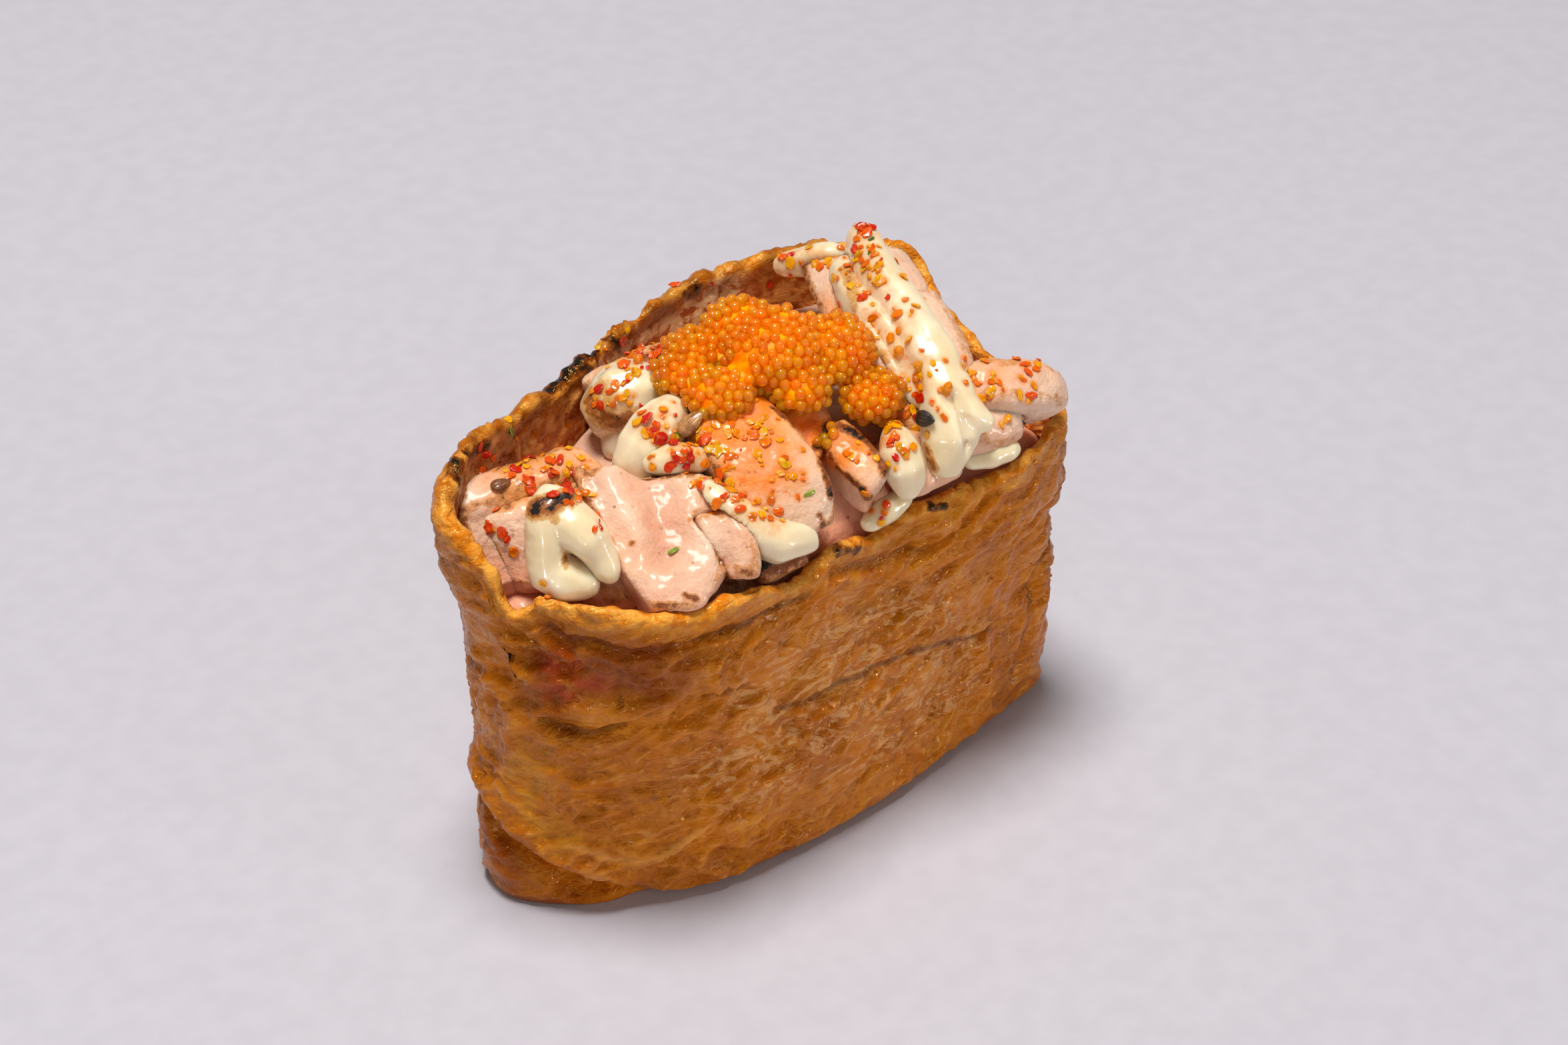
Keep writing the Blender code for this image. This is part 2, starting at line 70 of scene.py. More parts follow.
# Going round from the front corner of the blunt end: the foot, the belly, and the rim with
# its height.
BAG_OUTLINE = (
    (30.74, -12.03, 29.94, -12.63, 29.94, -13.63, 36.9),
    (31.34, -5.93, 30.54, -6.43, 29.94, -7.93, 37.0),
    (30.94, -0.43, 30.34, -0.23, 29.24, -1.93, 38.6),
    (29.54, 5.07, 29.54, 5.17, 28.94, 3.77, 40.8),
    (25.84, 8.97, 27.74, 9.57, 29.14, 8.97, 44.6),
    (17.84, 10.77, 18.84, 12.97, 21.74, 13.97, 45.3),
    (9.34, 11.57, 9.84, 14.77, 12.34, 16.77, 45.2),
    (0.34, 11.37, 0.34, 14.57, 2.34, 16.57, 45.3),
    (-8.66, 10.17, -9.16, 12.57, -7.16, 13.77, 44.5),
    (-17.16, 8.57, -17.66, 10.17, -16.16, 11.17, 44.8),
    (-24.46, 6.57, -25.06, 7.77, -24.66, 7.97, 46.6),
    (-29.06, 1.97, -29.56, 2.37, -30.96, 3.17, 45.3),
    (-30.26, -1.93, -29.26, -2.83, -30.66, -1.93, 42.2),
    (-28.86, -5.23, -28.06, -6.03, -29.26, -4.83, 39.4),
    (-24.26, -9.33, -24.66, -9.83, -26.26, -8.23, 38.5),
    (-18.86, -12.63, -19.16, -13.63, -22.16, -13.23, 38.4),
    (-12.86, -14.73, -13.16, -15.43, -16.16, -15.73, 36.9),
    (-7.06, -15.63, -7.16, -16.03, -10.16, -16.13, 36.6),
    (-2.16, -15.93, -2.66, -16.13, -5.06, -15.63, 34.2),
    (2.84, -15.83, 2.34, -16.03, -0.66, -15.33, 35.7),
    (8.84, -15.43, 7.84, -15.83, 4.34, -15.33, 34.9),
    (14.34, -14.93, 13.84, -15.53, 10.34, -15.63, 36.2),
    (20.34, -14.13, 19.84, -15.13, 16.34, -16.13, 35.5),
    (25.74, -13.33, 25.34, -14.23, 22.84, -16.43, 36.2),
)
# The fold where the bag hangs over its flattened corner, from the front round to the back.
EAR_FOLD = (
    (-16.0, -14.0, 0.2), (-18.2, -13.2, 0.9), (-22.2, -11.2, 2.3), (-25.2, -9.2, 3.8),
    (-27.6, -6.5, 5.7), (-29.1, -3.4, 8.2), (-29.0, 0.5, 11.0), (-27.6, 4.4, 10.6),
    (-23.4, 7.4, 8.0), (-18.0, 9.2, 4.0), (-13.0, 10.0, 0.2),
)
# The dip in the rim beside the pointed end.
NOTCH = (-29.06, -5.43)
NOTCH_DEPTH = 3.2
NOTCH_HALF = 2.2


def around(rows, places):
    """The closed smooth curve through the rows, read at places counted in rows."""
    rows = np.array(rows)
    first = np.floor(places).astype(int)
    t = (places - first)[:, None]
    a, b, c, d = (rows[(first + k) % len(rows)] for k in (-1, 0, 1, 2))
    return 0.5 * (2 * b + (c - a) * t + (2 * a - 5 * b + 4 * c - d) * t**2 + (3 * b - a - 3 * c + d) * t**3)


def eased(x):
    """0 below 0, 1 above 1, and a smooth step between."""
    x = np.clip(x, 0.0, 1.0)
    return x * x * (3 - 2 * x)


def grain(points, size, seed=0.0):
    """Soft noise of that size at each point, about -1 to 1."""
    return np.array([noise.noise(p) for p in (points / size + seed).tolist()])


def near(points, path, reach):
    """How near each point is to a path, or to one place: 1 on it, 0 from reach on."""
    path = np.array(path, float).reshape(-1, 3)
    best = np.linalg.norm(points - path[0], axis=1)
    for a, b in zip(path[:-1], path[1:]):
        run = b - a
        along = np.clip((points - a) @ run / (run @ run), 0, 1)[:, None]
        best = np.minimum(best, np.linalg.norm(points - a - along * run, axis=1))
    return np.clip(1 - best / reach, 0, 1)


def laid_out(name, data):
    """An object that holds this mesh, lamp or lens, in the scene."""
    made = bpy.data.objects.new(name, data)
    bpy.context.scene.collection.objects.link(made)
    return made


def mesh_piece(name, points, faces):
    """A smooth-shaded mesh object from points in millimetres."""
    mesh = bpy.data.meshes.new(name)
    mesh.from_pydata((np.asarray(points) * MM).tolist(), [], faces)
    mesh.shade_smooth()
    return laid_out(name, mesh)


def numbers(items, field, each, kind=np.float32):
    """One field of every item of a mesh, a row for each."""
    flat = np.empty(len(items) * each, kind)
    items.foreach_get(field, flat)
    return flat.reshape(-1, each)


def points_of(piece):
    return numbers(piece.data.vertices, "co", 3).astype(float) / MM


def normals_of(piece):
    return numbers(piece.data.vertex_normals, "vector", 3).astype(float)


def set_points(piece, points):
    piece.data.vertices.foreach_set("co", (points * MM).astype(np.float32).ravel())
    piece.data.update()


def marked(piece, name, values):
    """Keeps one number for each vertex, for the material to read."""
    attribute = piece.data.attributes.new(name, "FLOAT", "POINT")
    attribute.data.foreach_set("value", np.clip(values, 0, 1).astype(np.float32))


def level_out(ring):
    """The level direction out of a ring at each of its points."""
    run = np.roll(ring, -1, axis=0) - np.roll(ring, 1, axis=0)
    out = np.stack([run[:, 1], -run[:, 0], np.zeros(len(ring))], axis=1)
    return out / np.linalg.norm(out, axis=1)[:, None]


def fold_height(ring):
    """The height of the fold over the corner at each point of a ring, 0 away from it."""
    path = np.array(EAR_FOLD)
    best, height = np.full(len(ring), 1e9), np.zeros(len(ring))
    for a, b in zip(path[:-1], path[1:]):
        run = (b - a)[:2]
        along = np.clip((ring[:, :2] - a[:2]) @ run / (run @ run), 0, 1)
        gap = np.linalg.norm(ring[:, :2] - a[:2] - along[:, None] * run, axis=1)
        nearer = gap < best
        best[nearer] = gap[nearer]
        height[nearer] = (a[2] + along * (b[2] - a[2]))[nearer]
    return np.where(best < 3.5, height, 0.0)


def dent(heights, middle, half):
    """A soft round bump of 1 at the middle height."""
    return np.exp(-(((heights - middle) / half) ** 2))


def bag_rows():
    """The rings of the bag from the foot up the wall, over the lip and down inside."""
    fine = np.linspace(0, len(BAG_OUTLINE), 4000, endpoint=False)
    girth = around(BAG_OUTLINE, fine)[:, 2:4]
    steps = np.linalg.norm(np.roll(girth, -1, axis=0) - girth, axis=1)
    run = np.concatenate([[0], np.cumsum(steps)])
    even = np.linspace(0, run[-1], COLUMNS, endpoint=False)
    places = np.interp(even, run, np.append(fine, len(BAG_OUTLINE)))
    outline = around(BAG_OUTLINE, places)
    foot, belly, rim, height = outline[:, 0:2], outline[:, 2:4], outline[:, 4:6], outline[:, 6]
    ragged = np.column_stack([rim, np.zeros(COLUMNS)])
    height = height + 0.5 * grain(ragged, 3.4, 3.0) + 0.2 * grain(ragged, 1.3, 9.0) - 0.1
    gap = 1 - np.linalg.norm(rim - NOTCH, axis=1) / NOTCH_HALF
    height = height - NOTCH_DEPTH * np.clip(gap, 0, 1)
    fold = fold_height(foot)
    rows = []
    for level in np.linspace(0, 1, WALL_ROWS):
        if level < BELLY_AT:
            share = eased(level / BELLY_AT)
            level_xy = foot + (belly - foot) * share
        else:
            share = eased((level - BELLY_AT) / RIM_RUN)
            level_xy = belly + (rim - belly) * share
        ring = np.column_stack([level_xy, level * (height - SKIN / 2)])
        ear = eased((EAR_X - ring[:, 0]) / EAR_RUN)
        above = ring[:, 2] - fold
        inset = ear * (2.3 * dent(above, -0.9, 1.3) - 0.8 * dent(above, 1.7, 1.7))
        front = ring[:, 1] < FRONT_Y
        inset = inset + front * CREASE_DEPTH * dent(ring[:, 2], CREASE_Z, CREASE_HALF)
        low = np.clip(1 - ring[:, 2] / FOOT_EDGE, 0, 1)
        inset = inset + FOOT_EDGE * (1 - 0.8 * ear) * (1 - np.sqrt(1 - low**2))
        rows.append(ring - level_out(ring) * inset[:, None])
    top = rows[-1]
    out = level_out(top)
    for turn in np.linspace(0, math.pi, LIP_ROWS + 1)[1:]:
        in_by = SKIN / 2 * (1 - math.cos(turn))
        up_by = SKIN / 2 * math.sin(turn)
        rows.append(top - out * in_by + np.array([0, 0, up_by]))
    lip = rows[-1]
    for share in np.linspace(0, 1, INNER_ROWS + 1)[1:]:
        ring = lip - out * 0.6 * eased(share * 1.5)
        ring[:, 2] = lip[:, 2] + (FLOOR - lip[:, 2]) * share
        rows.append(ring)
    return rows


def grid_faces(rows, columns):
    faces = []
    for row in range(rows - 1):
        low = row * columns
        for i in range(columns):
            j = (i + 1) % columns
            faces.append((low + i, low + j, low + columns + j, low + columns + i))
    faces.append(tuple(reversed(range(columns))))
    faces.append(tuple(range((rows - 1) * columns, rows * columns)))
    return faces


rows = bag_rows()
pocket = mesh_piece("tofu_pocket", np.concatenate(rows), grid_faces(len(rows), COLUMNS))
spots = points_of(pocket)
out = normals_of(pocket)
row_of = np.arange(len(spots)) // COLUMNS
on_lip = 1 - np.clip(np.abs(row_of - WALL_ROWS - LIP_ROWS / 2) / 12, 0, 1)
inside = eased((row_of - WALL_ROWS - LIP_ROWS / 2) / 6)
held = eased(spots[:, 2] / 2.0) * np.where(inside > 0, eased((spots[:, 2] - FLOOR) / 1.5), 1)

# Crumples lie along the wall and climb a little towards the blunt end.
flow = spots * np.array([1.0, 1.0, 2.2]) - np.outer(spots[:, 0], [0, 0, 0.6])
warp = np.stack([grain(spots, 6.0, k) for k in (1.5, 4.5, 7.5)], axis=1)
ripple = np.stack([grain(spots, 1.8, k) for k in (2.5, 5.5, 8.5)], axis=1)
flow = flow + warp * 3.4 + ripple * 0.8
crumple = 1 - 2.4 * np.abs(grain(flow, 4.6, 12.0))
wrinkle = 1 - 2.4 * np.abs(grain(flow, 2.1, 22.0))
cells = [noise.voronoi(p)[0] for p in (flow / 2.6 + 47.0).tolist()]
net = np.clip(1 - np.array([c[1] - c[0] for c in cells]) / 0.30, 0, 1)
pucker = 1 - 2.4 * np.abs(grain(spots + ripple * 0.7, 1.15, 32.0))
calm = 0.45 + 0.55 * eased(grain(spots, 9.0, 37.0) * 1.6 + 0.5)
bumps = 0.62 * crumple + 0.32 * wrinkle + 0.11 * pucker + 0.12 * net
relief = 0.7 * grain(spots, 12.0, 42.0) + calm * (bumps - bumps.mean())

# Folds of the skin: path, half width, and how far it stands up or, below zero, sinks in.
FOLDS = (
    (((-27.5, -6.4, 23.0), (-25.9, -8.0, 22.8), (-23.1, -10.4, 23.4), (-21.4, -11.9, 25.2),
      (-17.4, -14.2, 26.7), (-10.3, -15.7, 24.9)), 0.4, -0.42),
    (((-27.6, -6.2, 24.6), (-24.8, -9.4, 25.4), (-22.0, -11.6, 26.0), (-18.6, -13.4, 28.0),
      (-14.0, -15.2, 27.4)), 0.9, 0.6),
    (((-16.9, -14.3, 23.9), (-14.0, -15.2, 23.4), (-8.6, -15.9, 23.0)), 0.7, 0.35),
    (((-26.9, -7.5, 35.5), (-25.9, -8.7, 33.9), (-24.2, -11.1, 34.6), (-21.9, -13.3, 34.2),
      (-18.7, -14.9, 33.9), (-13.1, -16.1, 33.4), (-8.0, -15.9, 32.9), (-3.4, -15.5, 32.2)), 0.8, -0.6),
    (((-22.8, -12.0, 31.7), (-22.5, -11.8, 29.5), (-22.7, -11.3, 27.1)), 0.5, -0.35),
    (((-29.7, 0.6, 28.0), (-29.6, -1.2, 26.0), (-29.0, -3.4, 24.5), (-28.9, -4.3, 22.2),
      (-29.4, -3.5, 19.4)), 0.9, 0.5),
    (((-28.8, -1.5, 30.0), (-28.2, -4.6, 28.0), (-27.8, -5.4, 25.0)), 0.7, -0.4),
    (((-14.6, -16.0, 33.0), (-11.9, -16.1, 32.0), (-12.1, -16.0, 30.1), (-14.1, -15.7, 29.5)), 0.45, 0.35),
    (((-3.4, -15.5, 32.0), (4.6, -15.4, 30.6), (12.7, -15.6, 28.9), (25.5, -14.1, 25.2)), 0.9, 0.4),
    (((-6.4, -16.0, 20.7), (2.3, -16.0, 18.6), (10.3, -15.6, 18.2), (23.5, -14.1, 12.6)), 1.4, -0.45),
    (((-13.5, -15.1, 21.4), (-8.9, -15.8, 20.3), (-3.2, -16.1, 19.0), (1.9, -16.0, 14.3),
      (2.9, -15.9, 10.1)), 0.6, 0.4),
    (((29.3, -13.0, 20.6), (27.1, -13.7, 17.1), (27.0, -13.4, 10.2), (25.5, -13.5, 5.1)), 1.0, -0.4),
    (((22.2, -14.7, 24.0), (20.6, -14.9, 19.3), (19.4, -14.7, 12.9), (19.0, -14.5, 8.3)), 0.9, 0.35),
    (((-0.2, -15.3, 33.2), (7.2, -15.5, 32.0), (15.7, -15.4, 29.0), (20.5, -14.9, 27.4)), 0.6, -0.35),
    (((-11.1, -15.4, 11.6), (-3.6, -16.0, 10.5), (7.9, -15.6, 9.4), (17.4, -14.7, 7.8)), 0.8, 0.3),
    (((-27.4, -6.9, 17.8), (-25.3, -8.9, 16.3), (-23.1, -10.7, 16.7), (-20.3, -12.4, 14.6),
      (-18.3, -13.4, 12.6)), 0.6, 0.4),
    (((-28.3, -5.7, 16.5), (-27.8, -4.6, 11.6), (-27.0, -6.6, 8.5)), 0.9, -0.45),
    (((-26.0, -7.9, 8.6), (-22.4, -10.6, 6.4), (-18.4, -12.8, 6.8), (-14.8, -14.2, 9.4)), 0.7, 0.35),
)
drift = 0.9 * warp
# Painted light and shade along the folds: dark where a fold sinks in, light where it stands up.
fold_shading = np.zeros(len(spots))
for path, half, rise in FOLDS:
    relief = relief + 1.25 * rise * eased(near(spots + drift, path, half * 2))
    line = eased(near(spots + drift + 0.3 * ripple, path, 0.9)) * abs(rise) * 1.6
    fold_shading = np.maximum(fold_shading, line) if rise < 0 else fold_shading - 0.8 * line
for middle, reach in (((-28.9, -4.8, 30.0), 1.2), ((-28.2, -6.1, 29.0), 1.1), ((-26.6, -8.0, 20.0), 1.3)):
    relief = relief + 0.5 * eased(near(spots, middle, reach))
lumps = grain(spots, 3.2, 52.0) + 0.5 * grain(spots, 1.3, 62.0) + 0.2 * grain(spots, 0.6, 67.0)
relief = relief * (1 - 0.5 * on_lip) + on_lip * (0.62 * lumps + 0.05)
relief = relief * (1 - 0.45 * inside) * (1 - 0.75 * near(spots, EAR_FOLD, 3.0))
relief = np.where(relief > 0.5, 0.5 + 0.4 * (relief - 0.5), np.maximum(relief, -1.0))
set_points(pocket, spots + out * (relief * held)[:, None])

# Where the torch caught the rim: path and reach.
SCORCHES = (
    (((-28.1, 4.3, 45.8), (-27.1, 5.6, 46.3)), 1.0),
    (((-25.3, 6.1, 45.9), (-22.5, 7.4, 45.0)), 1.1),
    (((-10.0, 12.3, 44.5), (-8.3, 12.6, 44.5), (-6.3, 13.5, 44.6)), 1.5),
    (((-4.1, 13.8, 44.7), (-3.2, 13.5, 43.6)), 1.1),
    (((-13.0, 11.6, 44.4), (-10.0, 12.6, 44.3)), 1.4),
    (((6.2, 15.5, 44.5), (7.6, 15.6, 44.5)), 1.0),
    (((10.8, -15.5, 35.7), (12.8, -15.7, 34.9)), 0.7),
    (((0.1, -14.9, 35.5), (2.6, -15.1, 34.6)), 0.7),
    (((15.0, -14.4, 35.2), (17.0, -14.8, 36.2)), 0.6),
)
# Where juice reddened the skin, smoke browned the rim and the bag is clear amber: path, reach,
# how full, how much is always there and how much comes and goes, and the size of the breaks.
PATCHES = {
    "blush": (((-25.9, -8.8, 31.4), (-26.6, -7.6, 28.0), (-24.6, -9.9, 29.5)),
              2.6, 1.5, 0.5, 1.0, 1.2, 87.0),
    "toast": (((-28.6, 3.6, 45.8), (-24.0, 7.4, 45.4), (-16.0, 10.4, 44.6), (-8.0, 12.8, 44.6),
               (2.0, 14.8, 44.6), (12.0, 16.0, 44.8), (22.0, 15.0, 44.4)), 3.2, 1.4, 0.55, 0.9, 1.6, 97.0),
    "amber": (((-28.7, -5.2, 17.2), (-27.9, -5.3, 13.0), (-26.5, -6.8, 9.5)),
              3.2, 1.5, 0.6, 1.0, 1.5, 92.0),
}
for name, (path, reach, full, always, now_and_then, size, seed) in PATCHES.items():
    patch = eased(full * near(spots, path, reach))
    marked(pocket, name, patch * (always + now_and_then * grain(spots, size, seed)))
scorch = np.zeros(len(spots))
broken = 0.6 * grain(spots, 0.6, 77.0)
for path, reach in SCORCHES:
    burn = near(spots, path, reach)
    scorch = np.maximum(scorch, burn + broken * (burn > 0))
marked(pocket, "scorch", scorch)
# Dark stains, and painted shade at the flattened corner under its fold; the white web of torn strands on the
# front, and mayonnaise smeared inside the back.
stain_and_shade = np.maximum(near(spots, ((-26.0, -8.6, 31.0), (-24.0, -10.6, 31.8), (-20.0, -13.6, 31.0)), 6.0),
                   0.8 * near(spots, ((-27.3, -7.1, 27.2),), 4.5))
# Painted shade: dark on the flattened corner, under the fold that hangs over it.
stain_and_shade = np.maximum(stain_and_shade, near(spots, ((-30.5, -1.0, 6.0), (-29.8, -4.5, 1.5), (-27.0, -8.0, 0.8)), 3.2))
marked(pocket, "stain_and_shade", eased(stain_and_shade * 1.6) * (0.75 + 0.5 * grain(spots, 2.5, 82.0)))
strings = np.maximum(near(spots, ((-7.6, -15.9, 22.0), (-1.0, -15.8, 24.0), (10.0, -15.6, 20.0)), 9.0),
                     near(spots, ((-12.4, -15.4, 16.0), (1.8, -16.0, 12.6), (15.0, -15.0, 12.0)), 9.0))
marked(pocket, "strings", eased(strings * 1.5))
marked(pocket, "fold_shading", 0.5 + 0.5 * fold_shading)
cream = near(spots, ((-5.0, 13.0, 43.6), (2.0, 14.2, 43.4), (10.0, 15.0, 43.2)), 4.6) * inside
marked(pocket, "cream", eased(cream * 1.5))
# Painted light and shade: the crumples' height, for the finish to paint their hollows darker and their
# crests lighter.
marked(pocket, "relief_shading", (bumps - bumps.mean()) / bumps.std() * 0.22 + 0.5)
marked(pocket, "inside", inside)
marked(pocket, "lip", on_lip)


def wire(tree, socket, value):
    """Links a socket to another, or sets it to a plain value."""
    if isinstance(value, bpy.types.NodeSocket):
        tree.links.new(value, socket)
    else:
        socket.default_value = value


def add(tree, kind, inputs=(), **settings):
    made = tree.nodes.new(kind)
    for name, value in settings.items():
        setattr(made, name, value)
    for name, value in dict(inputs).items():
        wire(tree, made.inputs[name], value)
    return made


def sums(tree, how, first, second):
    made = add(tree, "ShaderNodeMath", operation=how)
    wire(tree, made.inputs[0], first)
    wire(tree, made.inputs[1], second)
    return made.outputs[0]


def times(tree, first, second):
    return sums(tree, "MULTIPLY", first, second)


def mark(tree, name, much=1.0):
    """What marked() kept under that name, all of it or a share."""
    kept = add(tree, "ShaderNodeAttribute", attribute_name=name).outputs["Fac"]
    return kept if much == 1.0 else times(tree, kept, much)


def speckle(tree, where, size, detail=2.0, rough=0.5, bend=0.0):
    """Noise of that size in millimetres, 0 to 1 about a half."""
    made = add(tree, "ShaderNodeTexNoise", {
        "Vector": where, "Scale": 1000.0 / size, "Detail": detail, "Roughness": rough, "Distortion": bend})
    return made.outputs["Fac"]


def stepped(tree, value, low, high, to_low=0.0, to_high=1.0):
    """The value moved from one range to another, and kept in it."""
    made = add(tree, "ShaderNodeMapRange", interpolation_type="SMOOTHSTEP")
    sides = ("Value", "From Min", "From Max", "To Min", "To Max")
    for name, given in zip(sides, (value, low, high, to_low, to_high)):
        wire(tree, made.inputs[name], given)
    return made.outputs["Result"]


def unevenly(tree, value, where, size, detail=2.0, rough=0.5, much=1.0):
    """The value with noise of that size added, so that what follows it has a ragged edge."""
    off = sums(tree, "SUBTRACT", speckle(tree, where, size, detail, rough), 0.5)
    return sums(tree, "ADD", value, off if much == 1.0 else times(tree, off, much))


def painted(tree, under, *coats):
    """Colours laid over the first in turn, each coat a share and a colour."""
    for share, over in coats:
        made = add(tree, "ShaderNodeMix", data_type="RGBA")
        for place, given in zip((0, 6, 7), (share, under, over)):
            wire(tree, made.inputs[place], given)
        under = made.outputs[2]
    return under


def shade(red, green, blue):
    """A colour from its 0 to 255 parts as a paint chart gives them."""
    parts = [c / 255 for c in (red, green, blue)]
    return (*[c / 12.92 if c <= 0.04045 else ((c + 0.055) / 1.055) ** 2.4 for c in parts], 1.0)


def raised(tree, height, distance, under=None):
    """Low relief from a height, distance in millimetres for a height of 1."""
    made = add(tree, "ShaderNodeBump", {"Height": height, "Distance": distance * MM, "Strength": 1.0})
    if under is not None:
        wire(tree, made.inputs["Normal"], under)
    return made.outputs["Normal"]


def turned(tree, scale=(1.0, 1.0, 1.0), rotation=(0.0, 0.0, 0.0)):
    """Object coordinates, turned and then scaled."""
    where = add(tree, "ShaderNodeTexCoord").outputs["Object"]
    made = add(tree, "ShaderNodeMapping", {"Vector": where, "Scale": scale, "Rotation": rotation})
    return made.outputs["Vector"]


def new_finish(name, settings):
    """A material with its plain settings, its tree and its surface."""
    finish = bpy.data.materials.new(name)
    finish.use_nodes = True
    surface = finish.node_tree.nodes["Principled BSDF"]
    for socket, value in settings.items():
        surface.inputs[socket].default_value = value
    return finish, finish.node_tree, surface


def web(tree, where, size, width):
    """A net of soft-edged strands that size apart, 1 along their middles."""
    fog = speckle(tree, where, size, 3.0, 0.55, 1.4)
    off = sums(tree, "ABSOLUTE", sums(tree, "SUBTRACT", fog, 0.5), 0.0)
    return stepped(tree, off, width, 0.0)


def tofu_finish():
    finish, tree, surface = new_finish("simmered_tofu_skin", {
        "Specular IOR Level": 0.5, "Specular Tint": (1.0, 0.62, 0.18, 1.0), "Subsurface Weight": 0.15,
        "Subsurface Radius": (1.0, 0.4, 0.08), "Subsurface Scale": 0.4 * MM, "Coat Weight": 0.05,
        "Coat Roughness": 0.05})
    plain = turned(tree)
    along = turned(tree, (0.7, 1.0, 1.5), (0.0, 0.5, 0.0))
    relief_shading = mark(tree, "relief_shading")
    fold_shading = mark(tree, "fold_shading")
    broad = speckle(tree, plain, 7.0, 4.0, 0.55, 0.4)
    golden = stepped(tree, speckle(tree, plain, 3.0, 3.0, 0.5, 1.0), 0.52, 0.7)
    fine = web(tree, along, 1.8, 0.3)
    thin = times(tree, web(tree, along, 3.0, 0.022), stepped(tree, broad, 0.6, 0.4))
    skin = painted(
        tree, shade(164, 72, 0),
        (stepped(tree, broad, 0.36, 0.64), shade(196, 100, 0)),
        (times(tree, golden, 0.6), shade(214, 132, 0)),
        # Painted shade in the hollows of the crumples.
        (stepped(tree, relief_shading, 0.45, 0.2, 0.0, 0.55), shade(136, 52, 0)),
        (times(tree, fine, 0.3), shade(212, 134, 24)),
        (times(tree, thin, 0.6), shade(120, 48, 0)))

    # Milky patches and torn strands of the inner layer lie in the amber skin where it was rubbed.
    film = stepped(tree, speckle(tree, along, 3.4, 5.0, 0.6, 0.8), 0.50, 0.66)
    wide = web(tree, along, 2.6, 0.13)
    rubbed = stepped(tree, speckle(tree, along, 6.0, 3.0, 0.5, 0.6), 0.42, 0.62, 0.15, 1.0)
    milky = times(tree, sums(tree, "MAXIMUM", film, times(tree, wide, 0.7)), rubbed)
    lace = stepped(tree, speckle(tree, along, 3.0, 6.0, 0.68, 2.0), 0.50, 0.59)
    white = times(tree, lace, mark(tree, "strings"))
    skin = painted(
        tree, skin,
        (times(tree, milky, 0.5), shade(212, 136, 44)),
        (times(tree, white, 0.62), shade(228, 172, 112)),
        # Painted highlight on the crests of the crumples.
        (stepped(tree, relief_shading, 0.66, 0.95, 0.0, 0.45), shade(226, 158, 76)),
        # Painted shade in the sunken folds and painted highlight on the raised ones.
        (stepped(tree, fold_shading, 0.54, 0.86, 0.0, 0.75), shade(96, 36, 0)),
        (stepped(tree, fold_shading, 0.48, 0.26, 0.0, 0.55), shade(232, 164, 84)),
        # Dark stains, and painted shade at the flattened corner.
        (mark(tree, "stain_and_shade", 0.8), shade(122, 38, 0)),
        (mark(tree, "blush", 0.6), shade(176, 22, 10)),
        (mark(tree, "amber", 0.45), shade(214, 150, 40)))

    # The torn lip is spongy and pale, the inside darker, with foam and soot along the back.
    crumb = stepped(tree, speckle(tree, plain, 1.3, 4.0, 0.6), 0.38, 0.62)
    sponge = speckle(tree, plain, 1.6, 4.0, 0.6, 0.5)
    foam = times(tree, mark(tree, "cream"), stepped(tree, sponge, 0.42, 0.56))
    burnt = unevenly(tree, mark(tree, "scorch"), plain, 0.7, 3.0)
    skin = painted(
        tree, skin,
        (mark(tree, "lip", 0.75), painted(tree, shade(204, 112, 6), (crumb, shade(244, 180, 78)))),
        (mark(tree, "inside", 0.8),
         painted(tree, shade(158, 62, 0), (stepped(tree, sponge, 0.4, 0.66), shade(218, 152, 84)))),
        (times(tree, foam, 0.85), shade(224, 190, 150)),
        (mark(tree, "toast", 0.85), shade(116, 50, 2)),
        (stepped(tree, burnt, 0.2, 0.55), shade(104, 48, 8)),
        (stepped(tree, burnt, 0.62, 0.82), shade(22, 15, 12)))
    wire(tree, surface.inputs["Base Color"], skin)
    wire(tree, surface.inputs["Roughness"], stepped(tree, milky, 0.0, 0.8, 0.12, 0.26))
    normal = raised(tree, fine, 0.10)
    normal = raised(tree, speckle(tree, along, 0.9, 3.0, 0.55, 0.8), 0.22, normal)
    wire(tree, surface.inputs["Normal"], raised(tree, milky, 0.06, normal))
    return finish


pocket.data.materials.append(tofu_finish())
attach(pocket, "root")
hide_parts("pocket")

# --- Salmon -----------------------------------------------------------------------------
# Fillet cut into slices, draped over the mouth of the bag and torched: pale pink with shallow
# ridges along its flakes, moist, and scorched brown and black along the edges that stood up.

SALMON_VOXEL, BED_VOXEL = 0.21, 0.36
SALMON_ROUNDS, BED_ROUNDS = 9, 6
SALMON_GROW, SWOLLEN_GROW = 0.25, 0.7
PRESS = 1.35
EDGE_ROUNDS = 24
LICKED, HARDLY_LICKED = 0.62, 0.3
SLICES = (
    "salmon_deep_left", "salmon_burnt_bit", "salmon_outer_left", "salmon_inner_left",
    "salmon_centre_right", "salmon_centre", "salmon_front_lobe", "salmon_front_flap",
    "salmon_block", "salmon_rim_right", "salmon_seared_middle", "salmon_upright",
    "salmon_back_right", "salmon_right", "salmon_back_left", "salmon_roll",
)

# The slices that lean on the wall and spread at the foot, those hardly browned along their
# edges, and those that fill out to their neighbours.
SLUMPED = ("salmon_outer_left", "salmon_inner_left")
PALE = ("salmon_roll", "salmon_right", "salmon_rim_right", "salmon_back_right")
SWOLLEN = (
    "salmon_roll", "salmon_right", "salmon_outer_left", "salmon_deep_left", "salmon_rim_right",
)

